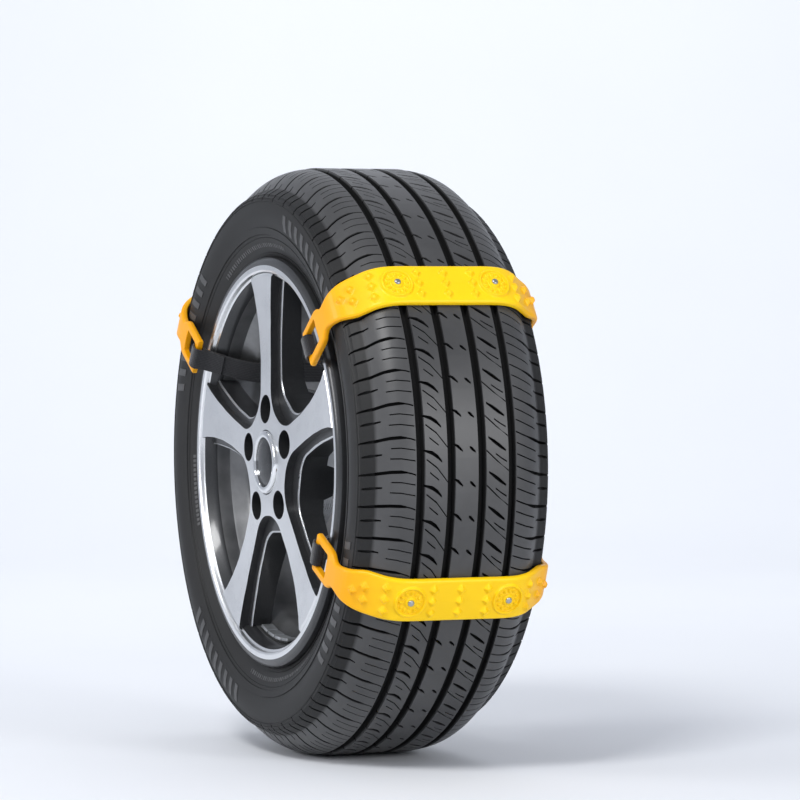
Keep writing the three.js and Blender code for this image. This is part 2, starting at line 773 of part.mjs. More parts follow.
// The lever lies along the webbing when it is shut, with its cam against the webbing.
function camLever(belt) {
  const noseLean = radians(12);
  const arc = [100, 130, 160, 190, 220, 250].map((degrees) => {
    const angle = radians(degrees);
    return [PIN_Y + 5.2 * Math.cos(angle), PIN_RADIUS_FROM_AXIS + 5.2 * Math.sin(angle)];
  });
  const nose = [
    [PIN_Y + CAM_RADIUS * Math.sin(noseLean) + 1.2, PIN_RADIUS_FROM_AXIS + CAM_RADIUS - 1.4],
    [PIN_Y + CAM_RADIUS * Math.sin(noseLean), PIN_RADIUS_FROM_AXIS + CAM_RADIUS * Math.cos(noseLean)],
    [PIN_Y - 0.8, PIN_RADIUS_FROM_AXIS + CAM_RADIUS - 1.6],
  ];
  const tipY = PIN_Y + LEVER_LENGTH;
  const tail = [
    [PIN_Y + 6, PIN_RADIUS_FROM_AXIS - 4.6],
    [tipY - 5, PIN_RADIUS_FROM_AXIS - 4.2],
    [tipY, PIN_RADIUS_FROM_AXIS - 6.6],
    [tipY + 1.4, PIN_RADIUS_FROM_AXIS - 4.8],
    [tipY - 4, PIN_RADIUS_FROM_AXIS - 1.8],
    [PIN_Y + 8, PIN_RADIUS_FROM_AXIS - 1.4],
    [PIN_Y + 5, PIN_RADIUS_FROM_AXIS + 2],
  ];
  const width = 2 * (BUCKLE_HALF_WIDTH - BUCKLE_SHEET - GAP);
  const outline = [...tail, ...nose, ...arc];
  const pinHole = round(PIN_RADIUS + GAP, 60, 12);
  pinHole.rotateZ(Math.PI / 2).translate(0, PIN_Y, PIN_RADIUS_FROM_AXIS);
  const notchHalf = SPRING_HALF_WIDTH + GAP;
  const notch = box(
    [-notchHalf, PIN_Y - 12, PIN_RADIUS_FROM_AXIS - 12],
    [notchHalf, PIN_Y + SPRING_RADIUS + 1.2, PIN_RADIUS_FROM_AXIS + 12],
  );
  const solid = cut(toSolid(extrudeSide(outline, width)), [pinHole, notch]);
  return piece("cam_lever_" + belt, toGeometry(solid), BLACK_OXIDE);
}

function pivotPin(belt) {
  const headHeight = 1.4;
  const face = BUCKLE_HALF_WIDTH + GAP;
  const outline = [
    [0, -face - headHeight],
    [PIN_RADIUS + 1, -face - headHeight],
    [PIN_RADIUS + 1.4, -face],
    [PIN_RADIUS, -face],
    [PIN_RADIUS, face],
    [PIN_RADIUS + 1.4, face],
    [PIN_RADIUS + 1, face + headHeight],
    [0, face + headHeight],
  ];
  const geometry = revolve(outline, 12).scale(0.98, 1, 0.98).rotateZ(-Math.PI / 2);
  return piece("pivot_pin_" + belt, geometry.translate(0, PIN_Y, PIN_RADIUS_FROM_AXIS), STUD_STEEL);
}

function camSpring(belt) {
  const inner = PIN_RADIUS + GAP + 0.2;
  const half = SPRING_HALF_WIDTH - 0.3;
  const outline = [[inner, -half], [SPRING_RADIUS, -half], [SPRING_RADIUS, half], [inner, half]];
  const geometry = revolve(outline, 12).rotateZ(-Math.PI / 2);
  return piece("cam_spring_" + belt, geometry.translate(0, PIN_Y, PIN_RADIUS_FROM_AXIS), SPRING_STEEL);
}

function antiSkidBelt(belt, angle) {
  const group = new THREE.Group();
  group.rotation.y = turnTo(angle);
  group.add(
    tractionPad(belt),
    stud("stud_" + belt + "_outboard", -BOSS_LENGTH),
    stud("stud_" + belt + "_inboard", BOSS_LENGTH),
    longStrap(belt),
    tabStrap(belt),
    buckleBody(belt),
    camLever(belt),
    pivotPin(belt),
    camSpring(belt),
  );
  return group;
}

// ---------- The assembly ----------

const wheelWithBelts = new THREE.Group();
wheelWithBelts.add(tyre(), alloyWheel(), centreCap(), capRetainingRing(), weightTape());
wheelWithBelts.add(...valvePieces(), ...balanceWeights());
for (const [belt, angle] of Object.entries(BELTS)) {
  wheelWithBelts.add(antiSkidBelt(belt, angle));
}

export default wheelWithBelts;
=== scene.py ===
"""A car wheel dressed with three anti-skid belts: its finished look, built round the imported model.

Metres. The wheel's axis lies along Y, its outside faces -Y and +Z is up. A belt is modelled at the
top of the wheel, with Y across the tread and X round it, and is then turned to its own place.
"""

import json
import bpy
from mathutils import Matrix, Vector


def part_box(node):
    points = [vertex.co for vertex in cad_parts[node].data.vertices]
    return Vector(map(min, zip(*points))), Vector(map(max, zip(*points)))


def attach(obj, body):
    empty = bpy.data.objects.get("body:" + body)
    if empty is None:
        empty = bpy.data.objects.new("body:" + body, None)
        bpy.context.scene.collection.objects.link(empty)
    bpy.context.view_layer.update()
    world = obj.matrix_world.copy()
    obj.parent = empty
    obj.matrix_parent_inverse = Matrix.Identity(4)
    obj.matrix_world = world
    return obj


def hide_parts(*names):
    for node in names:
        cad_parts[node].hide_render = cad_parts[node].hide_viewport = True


bl_info = {
    "name": "Wheel with Anti-skid Belts",
    "version": (1, 0, 0),
    "blender": (4, 5, 0),
    "location": "View3D > Sidebar > Wheel",
    "description": "Models a tyre, its alloy wheel and the moulded belts strapped across the tread",
    "category": "Add Mesh",
}

from math import atan2, cos, hypot, pi, radians, sin, sqrt

import bmesh
import bpy
from bpy.props import FloatProperty, FloatVectorProperty, IntProperty, PointerProperty
from mathutils import Matrix, Vector

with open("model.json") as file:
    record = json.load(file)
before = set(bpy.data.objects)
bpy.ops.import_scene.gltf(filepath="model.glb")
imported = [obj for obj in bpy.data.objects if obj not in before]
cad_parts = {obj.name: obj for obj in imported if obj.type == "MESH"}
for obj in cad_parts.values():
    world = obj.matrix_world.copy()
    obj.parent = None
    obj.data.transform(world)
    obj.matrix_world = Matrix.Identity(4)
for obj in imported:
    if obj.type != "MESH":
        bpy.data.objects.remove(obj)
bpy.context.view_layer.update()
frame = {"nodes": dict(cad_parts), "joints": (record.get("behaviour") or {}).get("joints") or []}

MM = 0.001
AXLE = Vector((0, 1, 0))
JOINTS = {joint["name"]: joint for joint in frame["joints"]}
BELTS = ("upper", "lower", "rear")
TYRE_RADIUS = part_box("tyre")[1].z


def belt_angle(belt):
    """The angle round the wheel, from +X towards +Z, at which a belt lies."""
    x, _, z = JOINTS["cam_hinge_" + belt]["pos_m"]
    return atan2(z, x)


# ---------- Settings ----------


class TyreSettings(bpy.types.PropertyGroup):
    """Sizes of the tyre's tread and its rubber."""

    pitches: IntProperty(name="Pitches", description="Times that the tread pattern repeats", default=56)
    groove_depth: FloatProperty(
        name="Groove depth", description="Depth of the grooves", default=8 * MM, unit="LENGTH"
    )
    rubber: FloatVectorProperty(
        name="Rubber", description="Colour of the rubber", default=(0.021, 0.021, 0.0215), subtype="COLOR"
    )


class WheelSettings(bpy.types.PropertyGroup):
    """Sizes and finishes of the alloy wheel."""

    spokes: IntProperty(name="Spokes", description="Number of spokes", default=5)
    first_spoke: FloatProperty(
        name="First spoke", description="Angle of the first spoke", default=radians(93.4), unit="ROTATION"
    )
    bright: FloatVectorProperty(
        name="Machined", description="Colour of the cut faces", default=(0.8, 0.81, 0.82), subtype="COLOR"
    )
    dark: FloatVectorProperty(
        name="Painted",
        description="Colour of the painted faces",
        default=(0.035, 0.036, 0.038),
        subtype="COLOR",
    )


class BeltSettings(bpy.types.PropertyGroup):
    """Sizes and colours of the anti-skid belts."""

    thickness: FloatProperty(
        name="Thickness", description="Thickness of the moulded pad", default=6.8 * MM, unit="LENGTH"
    )
    half_width: FloatProperty(
        name="Half width", description="Half the pad's width on the tread", default=23.5 * MM, unit="LENGTH"
    )
    yellow: FloatVectorProperty(
        name="Yellow", description="Colour of the pad's face", default=(0.95, 0.6, 0.004), subtype="COLOR"
    )
    orange: FloatVectorProperty(
        name="Orange", description="Colour towards the loops", default=(0.86, 0.27, 0.0), subtype="COLOR"
    )
    webbing: FloatVectorProperty(
        name="Webbing", description="Colour of the webbing", default=(0.012, 0.012, 0.014), subtype="COLOR"
    )


def settings():
    """The add-on's settings, kept on the scene."""
    return bpy.context.scene.wheel_with_belts


class WheelWithBelts(bpy.types.PropertyGroup):
    """All the settings of the wheel."""

    tyre: PointerProperty(type=TyreSettings)
    wheel: PointerProperty(type=WheelSettings)
    belt: PointerProperty(type=BeltSettings)


# ---------- Shading ----------


class Shade:
    """One output socket. Sums, products and powers of it add Math nodes."""

    def __init__(self, tree, socket):
        self.tree = tree
        self.socket = socket

    def math(self, operation, *values, clamp=False):
        node = self.tree.nodes.new("ShaderNodeMath")
        node.operation = operation
        node.use_clamp = clamp
        for place, value in zip(node.inputs, values):
            if isinstance(value, Shade):
                self.tree.links.new(value.socket, place)
            else:
                place.default_value = value
        return Shade(self.tree, node.outputs[0])

    def __add__(self, other):
        return self.math("ADD", self, other)

    def __radd__(self, other):
        return self.math("ADD", other, self)

    def __sub__(self, other):
        return self.math("SUBTRACT", self, other)

    def __rsub__(self, other):
        return self.math("SUBTRACT", other, self)

    def __mul__(self, other):
        return self.math("MULTIPLY", self, other)

    def __rmul__(self, other):
        return self.math("MULTIPLY", other, self)

    def __truediv__(self, other):
        return self.math("DIVIDE", self, other)

    def __pow__(self, other):
        return self.math("POWER", self, other)

    def sine(self):
        return self.math("SINE", self)

    def absolute(self):
        return self.math("ABSOLUTE", self)

    def step(self, start, end):
        """0 below start, 1 above end, and straight between them."""
        return self.math("MULTIPLY", (self - start), 1 / (end - start), clamp=True)


class Finish:
    """A new material, and the nodes that feed its shader."""

    def __init__(self, name, **fixed):
        self.material = bpy.data.materials.new(name)
        self.material.use_nodes = True
        self.tree = self.material.node_tree
        self.shader = self.tree.nodes["Principled BSDF"]
        for key, value in fixed.items():
            socket = key.replace("_", " ").title().replace("Ior", "IOR")
            self.shader.inputs[socket].default_value = value

    def node(self, kind, options=None, output=0, **inputs):
        """Adds a node, sets its options first, then fills its sockets with values or links."""
        node = self.tree.nodes.new(kind)
        for key, value in (options or {}).items():
            setattr(node, key, value)
        for key, value in inputs.items():
            self.fill(node.inputs[key.replace("_", " ")], value)
        return Shade(self.tree, node.outputs[output])

    def fill(self, socket, value):
        if isinstance(value, Shade):
            self.tree.links.new(value.socket, socket)
        else:
            socket.default_value = value

    def place(self):
        """Object coordinates, in metres."""
        return self.node("ShaderNodeTexCoord", output="Object")

    def axes(self):
        place = self.place()
        node = self.tree.nodes.new("ShaderNodeSeparateXYZ")
        self.tree.links.new(place.socket, node.inputs[0])
        return [Shade(self.tree, output) for output in node.outputs]

    def weave_axes(self):
        """The piece's own UV map: across and along the webbing, in metres."""
        place = self.node("ShaderNodeTexCoord", output="UV")
        node = self.tree.nodes.new("ShaderNodeSeparateXYZ")
        self.tree.links.new(place.socket, node.inputs[0])
        return Shade(self.tree, node.outputs[0]), Shade(self.tree, node.outputs[1])

    def noise(self, scale, detail=4.0, stretch=(1, 1, 1), rough=0.5):
        place = self.node("ShaderNodeMapping", Vector=self.place(), Scale=stretch)
        return self.node("ShaderNodeTexNoise", Vector=place, Scale=scale, Detail=detail, Roughness=rough)

    def mix(self, share, first, second):
        node = self.tree.nodes.new("ShaderNodeMix")
        node.data_type = "RGBA"
        self.fill(node.inputs[0], share)
        self.fill(node.inputs[6], first if isinstance(first, Shade) else (*first, 1))
        self.fill(node.inputs[7], second if isinstance(second, Shade) else (*second, 1))
        return Shade(self.tree, node.outputs[2])

    def feed(self, socket, value):
        self.fill(self.shader.inputs[socket], value)

    def bump(self, height, distance, strength=1.0):
        normal = self.node("ShaderNodeBump", Height=height, Distance=distance, Strength=strength)
        self.feed("Normal", normal)


def lighter(color, factor):
    """A colour made lighter, or darker when the factor is below 1."""
    return tuple(min(1.0, value * factor) for value in color)


def rubber_finish():
    """Moulded rubber: near black, with a painted sheen that lightens the ribs, fine grain and grooves painted
    black as painted shade.
    """
    finish = Finish("tyre_rubber", specular_ior_level=0.28, coat_roughness=0.42)
    color = tuple(settings().tyre.rubber)
    x, y, z = finish.axes()
    crown = TYRE_RADIUS - SHOULDER_DROP * MM * (y.absolute() / (SHOULDER_Y * MM)) ** SHOULDER_POWER
    below = crown - (x * x + z * z) ** 0.5
    tread = y.absolute().step(92 * MM, 89 * MM)
    sunk_and_shaded = below.step(0.6 * MM, 2.6 * MM) * tread
    cloud = finish.noise(9, 5, rough=0.6)
    grain = finish.noise(900, 3)
    side = finish.mix(cloud.step(0.35, 0.7), lighter(color, 0.35), lighter(color, 0.6))
    # The ribs are painted two to three times lighter than the rubber, far lighter than the sidewall: a
    # painted sheen.
    rib = finish.mix(cloud.step(0.35, 0.7), lighter(color, 1.9), lighter(color, 3.0))
    skin_with_rib_sheen = finish.mix(tread, side, rib)
    # Sunk grooves and slots are painted near black: painted shade.
    finish.feed("Base Color", finish.mix(sunk_and_shaded, skin_with_rib_sheen, lighter(color, 0.12)))
    finish.feed("Roughness", 0.5 + cloud * 0.12 + grain * 0.06 - tread * 0.14 + sunk_and_shaded * 0.4)
    finish.feed("Coat Weight", (1 - sunk_and_shaded) * (0.12 + tread * 0.3))
    finish.bump(grain + finish.noise(160, 2) * 0.6, 0.12 * MM, 0.35)
    return finish.material


def side_mark_finish():
    """The raised marks on the sidewall, painted lighter than the rubber as a painted sheen on their polished
    tops.
    """
    finish = Finish("side_mark_rubber", specular_ior_level=0.5)
    # The marks are painted 2.6 times lighter than the rubber: a painted sheen.
    color = lighter(tuple(settings().tyre.rubber), 2.6)
    grain = finish.noise(700, 3)
    finish.feed("Base Color", finish.mix(grain.step(0.3, 0.7), lighter(color, 0.85), lighter(color, 1.15)))
    finish.feed("Roughness", 0.4 + grain * 0.15)
    finish.bump(grain, 0.08 * MM, 0.3)
    return finish.material


def machined_finish():
    """Bright cut metal under clear lacquer, with the lathe's fine rings."""
    finish = Finish("wheel_machined", metallic=1.0, coat_roughness=0.06)
    color = tuple(settings().wheel.bright)
    x, _, z = finish.axes()
    distance = (x * x + z * z) ** 0.5
    rings = (distance * (2 * pi / (0.55 * MM))).sine()
    cloud = finish.noise(22, 3)
    finish.feed("Base Color", finish.mix(cloud.step(0.3, 0.75), lighter(color, 0.92), color))
    finish.feed("Roughness", 0.24 + cloud * 0.1 + rings * 0.015)
    finish.feed("Coat Weight", 0.25 + cloud * 0.1)
    finish.bump(rings, 0.01 * MM, 0.5)
    return finish.material


def painted_finish():
    """Dark metallic paint in the pockets and on the window walls."""
    finish = Finish("wheel_dark_paint", metallic=0.55, coat_roughness=0.12)
    color = tuple(settings().wheel.dark)
    flake = finish.noise(2600, 2)
    cloud = finish.noise(30, 3)
    finish.feed("Base Color", finish.mix(flake.step(0.45, 0.7), lighter(color, 0.8), lighter(color, 1.7)))
    finish.feed("Roughness", 0.34 + cloud * 0.12)
    finish.feed("Coat Weight", 0.4 + cloud * 0.1)
    finish.bump(cloud, 0.05 * MM, 0.25)
    return finish.material


def barrel_finish():
    """Silver paint inside the barrel, darkened towards the car partly by brake grime and partly by painted
    shade.
    """
    finish = Finish("wheel_silver_paint", metallic=0.85, coat_roughness=0.2)
    _, y, _ = finish.axes()
    dust_and_shade = y.step(-60 * MM, 70 * MM)
    cloud = finish.noise(40, 4)
    silver = finish.mix(cloud.step(0.3, 0.7), (0.17, 0.172, 0.175), (0.25, 0.252, 0.255))
    # Towards the car the silver is painted darker and browner: partly brake grime, partly painted shade.
    finish.feed("Base Color", finish.mix(dust_and_shade * 0.6 * cloud, silver, (0.1, 0.09, 0.08)))
    finish.feed("Roughness", 0.32 + cloud * 0.12 + dust_and_shade * 0.1)
    finish.feed("Coat Weight", 0.3 - dust_and_shade * 0.2)
    finish.bump(cloud, 0.05 * MM, 0.3)
    return finish.material


def chrome_finish():
    """Plated trim, lightly hazed."""
    finish = Finish("cap_chrome", metallic=1.0)
    haze = finish.noise(80, 4)
    finish.feed("Base Color", finish.mix(haze.step(0.3, 0.7), (0.78, 0.79, 0.8), (0.88, 0.89, 0.9)))
    finish.feed("Roughness", 0.08 + haze * 0.1)
    finish.bump(haze, 0.02 * MM, 0.2)
    return finish.material


def cap_face_finish():
    """The cap's dark, polished face."""
    finish = Finish("cap_dark_face", metallic=0.9)
    haze = finish.noise(60, 4)
    finish.feed("Base Color", finish.mix(haze.step(0.3, 0.7), (0.03, 0.031, 0.033), (0.075, 0.077, 0.08)))
    finish.feed("Roughness", 0.2 + haze * 0.12)
    finish.bump(haze, 0.03 * MM, 0.3)
    return finish.material


def pad_finish():
    """Glossy moulded plastic, yellow on the tread, painted deeper orange towards the loops as painted shade.
    """
    finish = Finish(
        "pad_yellow_tpu",
        subsurface_weight=0.04,
        subsurface_radius=(0.003, 0.0015, 0.0002),
        specular_ior_level=0.22,
        coat_roughness=0.25,
    )
    belt = settings().belt
    _, y, _ = finish.axes()
    loop_shade = y.absolute().step(70 * MM, 118 * MM)
    cloud = finish.noise(45, 3)
    grain = finish.noise(1400, 2)
    face = finish.mix(cloud.step(0.3, 0.7), lighter(tuple(belt.yellow), 0.96), tuple(belt.yellow))
    # Towards the loops the yellow is painted deeper orange: painted shade.
    finish.feed("Base Color", finish.mix(loop_shade * 0.7, face, tuple(belt.orange)))
    finish.feed("Roughness", 0.36 + cloud * 0.1)
    finish.feed("Coat Weight", 0.06 + cloud * 0.04)
    finish.bump(grain, 0.05 * MM, 0.3)
    return finish.material


BRIGHT_STEEL = (0.42, 0.43, 0.44)
SPRING_STEEL = (0.25, 0.25, 0.26)


def steel_finish(name, color, rough):
    """Ground or drawn steel, with fine scratches along the wheel's axis."""
    finish = Finish(name, metallic=1.0)
    scratch = finish.noise(500, 3, stretch=(1, 0.15, 1))
    finish.feed("Base Color", finish.mix(scratch.step(0.3, 0.7), lighter(color, 0.8), lighter(color, 1.15)))
    finish.feed("Roughness", rough + scratch * 0.12)
    finish.bump(scratch, 0.03 * MM, 0.4)
    return finish.material


def oxide_finish():
    """Black oxide on pressed steel, rubbed brighter in patches."""
    finish = Finish("black_oxide", metallic=0.8)
    rub = finish.noise(120, 4)
    fine = finish.noise(1100, 2)
    finish.feed("Base Color", finish.mix(rub.step(0.55, 0.75), (0.03, 0.031, 0.034), (0.11, 0.11, 0.115)))
    finish.feed("Roughness", 0.36 + fine * 0.18)
    finish.bump(fine, 0.04 * MM, 0.4)
    return finish.material


def webbing_finish():
    """Woven nylon: ribs across the strap, and a twill between them."""
    finish = Finish("webbing_nylon", sheen_weight=0.4, sheen_roughness=0.4)
    across, along = finish.weave_axes()
    rib = (along * (2 * pi / (1.5 * MM))).sine()
    warp = (across * (2 * pi / (1.1 * MM)) + rib * 0.8).sine()
    weave = rib * 0.6 + warp * 0.5
    color = tuple(settings().belt.webbing)
    fuzz = finish.noise(600, 4)
    # The high threads are painted lighter and the low ones darker: painted highlight and painted shade of the
    # weave.
    high = weave.step(-0.9, 1.0)
    finish.feed("Base Color", finish.mix(high, lighter(color, 0.5), lighter(color, 1.9)))
    finish.feed("Roughness", 0.72 + fuzz * 0.2)
    finish.bump(weave + fuzz * 0.5, 0.25 * MM, 0.8)
    return finish.material


def plain_finish(name, color, rough, metallic=0.0, grain_scale=800):
    """A small part's plastic, rubber or cast metal, with its own grain."""
    finish = Finish(name, metallic=metallic)
    grain = finish.noise(grain_scale, 3)
    cloud = finish.noise(70, 3)
    finish.feed("Base Color", finish.mix(cloud.step(0.3, 0.7), lighter(color, 0.8), lighter(color, 1.2)))
    finish.feed("Roughness", rough + grain * 0.12)
    finish.bump(grain, 0.06 * MM, 0.4)
    return finish.material


# ---------- Modelling tools ----------


class editing:
    """Edit mode on one piece, with all of it selected, for the length of a with block."""

    def __init__(self, piece):
        self.piece = piece

    def __enter__(self):
        pick(self.piece)
        bpy.ops.object.mode_set(mode="EDIT")
        bpy.ops.mesh.select_all(action="SELECT")
        return bmesh.from_edit_mesh(self.piece.data)

    def __exit__(self, *error):
        bpy.ops.object.mode_set(mode="OBJECT")


def pick(*pieces):
    """Selects these pieces alone and makes the first one active."""
    bpy.ops.object.select_all(action="DESELECT")
    for piece in pieces:
        piece.select_set(True)
    bpy.context.view_layer.objects.active = pieces[0]


def named(piece, name):
    piece.name = name
    piece.data.name = name
    return piece


def place_vertices(piece, points):
    piece.data.vertices.foreach_set("co", [value for point in points for value in point])
    piece.data.update()


def close_up(piece, threshold=0.002 * MM):
    """Merges doubles, caps any open end and turns the faces outwards."""
    with editing(piece):
        bpy.ops.mesh.remove_doubles(threshold=threshold)
        bpy.ops.mesh.delete_loose(use_verts=True, use_edges=True, use_faces=False)
        bpy.ops.mesh.select_all(action="SELECT")
        bpy.ops.mesh.fill_holes(sides=0)
        bpy.ops.mesh.select_all(action="SELECT")
        bpy.ops.mesh.normals_make_consistent(inside=False)
    return piece


def skin(name, rings):
    """A closed skin through rings of points, made from a grid whose rows are the rings."""
    bpy.ops.object.select_all(action="DESELECT")
    bpy.ops.mesh.primitive_grid_add(x_subdivisions=len(rings[0]), y_subdivisions=len(rings) - 1)
    piece = named(bpy.context.object, name)
    place_vertices(piece, [point for ring in rings for point in [*ring, ring[0]]])
    return close_up(piece)


def outline_piece(name, points, fill):
    """A flat outline, made from a circle with one vertex for each point."""
    bpy.ops.object.select_all(action="DESELECT")
    bpy.ops.mesh.primitive_circle_add(vertices=len(points), fill_type="NGON" if fill else "NOTHING")
    piece = named(bpy.context.object, name)
    place_vertices(piece, points)
    return piece


def turned(name, outline, steps):
    """Spins a closed outline of (radius, y) points, in millimetres, about the wheel's axis."""
    piece = outline_piece(name, [(0, y * MM, r * MM) for r, y in outline], fill=False)
    with editing(piece):
        bpy.ops.mesh.spin(steps=steps, angle=2 * pi, center=(0, 0, 0), axis=AXLE)
    return close_up(piece)


def pushed_out(offset):
    """Extrudes the whole outline in hand and turns its faces outwards."""
    bpy.ops.mesh.select_all(action="SELECT")
    bpy.ops.mesh.extrude_region_move(TRANSFORM_OT_translate={"value": offset})
    bpy.ops.mesh.select_all(action="SELECT")
    bpy.ops.mesh.normals_make_consistent(inside=False)


def prism(name, points, low_y, high_y, corner=None, rounding=0.0, segments=6):
    """Pushes an outline of (x, z) points along Y. Corners, given by index, are rounded first."""
    piece = outline_piece(name, [(x * MM, low_y * MM, z * MM) for x, z in points], fill=True)
    with editing(piece) as mesh:
        if corner:
            bpy.ops.mesh.select_all(action="DESELECT")
            bpy.context.tool_settings.mesh_select_mode = (True, False, False)
            mesh.verts.ensure_lookup_table()
            for index in corner:
                mesh.verts[index].select = True
            bmesh.update_edit_mesh(piece.data)
            bpy.ops.mesh.bevel(offset=rounding * MM, segments=segments, affect="VERTICES")
        pushed_out((0, (high_y - low_y) * MM, 0))
    return piece


def rod(name, radius, low, high, vertices=32, axis="Y"):
    """A round bar along Y or X, in millimetres, centred on that axis."""
    bpy.ops.object.select_all(action="DESELECT")
    turn = (pi / 2, 0, 0) if axis == "Y" else (0, pi / 2, 0)
    middle = (low + high) / 2 * MM
    bpy.ops.mesh.primitive_cylinder_add(
        vertices=vertices,
        radius=radius * MM,
        depth=(high - low) * MM,
        rotation=turn,
        location=(0, middle, 0) if axis == "Y" else (middle, 0, 0),
    )
    return settle(named(bpy.context.object, name))


def settle(piece):
    """Moves a piece's place, turn and size into its mesh."""
    pick(piece)
    bpy.ops.object.transform_apply(location=True, rotation=True, scale=True)
    return piece


def moved(piece, matrix):
    piece.data.transform(matrix)
    piece.data.update()
    return piece


def copied(piece, name):
    pick(piece)
    bpy.ops.object.duplicate()
    return named(bpy.context.object, name)


def joined(pieces, name=None):
    """Joins pieces into the first one."""
    pick(*pieces)
    if len(pieces) > 1:
        bpy.ops.object.join()
    return named(pieces[0], name) if name else pieces[0]


def modified(piece, kind, **options):
    """Adds a modifier, sets it and applies it."""
    pick(piece)
    bpy.ops.object.modifier_add(type=kind)
    modifier = piece.modifiers[-1]
    for key, value in options.items():
        setattr(modifier, key, value)
    bpy.ops.object.modifier_apply(modifier=modifier.name)
    return piece


def eased(piece, width, segments=2, degrees=40):
    """Rounds every edge that is sharper than the angle."""
    options = {"segments": segments, "limit_method": "ANGLE", "angle_limit": radians(degrees)}
    return modified(piece, "BEVEL", width=width * MM, **options)


def cut(piece, tool, operation="DIFFERENCE", tangled=False):
    """Cuts a tool out of a piece, or joins it on, and deletes the tool. New faces keep the tool's finish."""
    options = {"operation": operation, "object": tool, "solver": "EXACT", "material_mode": "TRANSFER"}
    modified(piece, "BOOLEAN", use_self=tangled, **options)
    bpy.data.objects.remove(tool)
    return piece


def smooth(piece, degrees=35):
    pick(piece)
    bpy.ops.object.shade_smooth_by_angle(angle=radians(degrees))
    return piece


def painted(piece, *materials):
    """Gives a piece its finishes, in slot order."""
    piece.data.materials.clear()
    for material in materials:
        piece.data.materials.append(material)
    return piece


def finished(piece, slot, *nodes, body="wheel"):
    """Hangs a piece on the body it rides on and hides the nodes it stands in for. The slot is not used."""
    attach(piece, body)
    if nodes:
        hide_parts(*nodes)
    return piece


def curve_value(keys, x):
    """The height at x of a smooth curve through (x, height) keys in rising order of x."""
    if x <= keys[0][0]:
        return keys[0][1]
    if x >= keys[-1][0]:
        return keys[-1][1]
    i = next(i for i in range(1, len(keys)) if keys[i][0] >= x)

    def slope(k):
        before, after = keys[max(k - 1, 0)], keys[min(k + 1, len(keys) - 1)]
        return (after[1] - before[1]) / (after[0] - before[0])

    (x0, y0), (x1, y1) = keys[i - 1], keys[i]
    span = x1 - x0
    t = (x - x0) / span
    rise = y0 * (2 * t**3 - 3 * t**2 + 1) + y1 * (3 * t**2 - 2 * t**3)
    return rise + span * (slope(i - 1) * (t**3 - 2 * t**2 + t) + slope(i) * (t**3 - t**2))


def flowing(points, step):
    """Points a step apart along a smooth line through (y, z) points."""
    lengths = [0.0]
    for (y0, z0), (y1, z1) in zip(points, points[1:]):
        lengths.append(lengths[-1] + hypot(y1 - y0, z1 - z0))
    count = max(2, round(lengths[-1] / step))
    ys = [(length, point[0]) for length, point in zip(lengths, points)]
    zs = [(length, point[1]) for length, point in zip(lengths, points)]
    stations = [lengths[-1] * i / count for i in range(count + 1)]
    return [(curve_value(ys, s), curve_value(zs, s)) for s in stations]


# ---------- The tyre ----------

CROWN_FLAT = 46
SLICE_RADIUS = 250 * MM
GROOVES = (-50.5, -17, 17, 50.5)
GROOVE_HALF_WIDTH = 4.5
GROOVE_TAPER = 1.3
SHOULDER_Y = 90
SHOULDER_DROP = 22.4
SHOULDER_POWER = 5.75
SHOULDER_EDGE = (SHOULDER_Y, 293.6)

# The sidewall's half width at each radius, from the bead to the shoulder.
SIDEWALL = (
    (203.8, 88.4),
    (215, 88.4),
    (222.6, 92),
    (240, 100),
    (256, 105),
    (268, 106.7),
    (283, 104),
    (289, 98.8),
    SHOULDER_EDGE[::-1],
)

# Raised rings on the sidewall: outer radius, inner radius, height.
SIDE_RINGS = (
    (288.2, 287, 0.7),
    (284.6, 283.4, 0.8),
    (281, 279.8, 0.8),
    (252.4, 244.2, 1.1),
    (241.6, 240.6, 0.6),
    (225.5, 219.5, 1.2),
)

# Groups of raised marks on a sidewall: their middles in degrees, count, pitch in radians, inner and
# outer radius, the widths in turn, the slant and the height.
MARK_GROUPS = (
    ((58, 148, 238, 328), 9, 0.068, 256.5, 273.5, (8.5,), 5, 0.7),
    ((100, 280), 34, 0.0235, 231.4, 235.6, (2.2, 3.6, 3.6), 0.4, 0.45),
    ((10, 190), 16, 0.022, 231, 235, (3.4,), 0.4, 0.45),
)

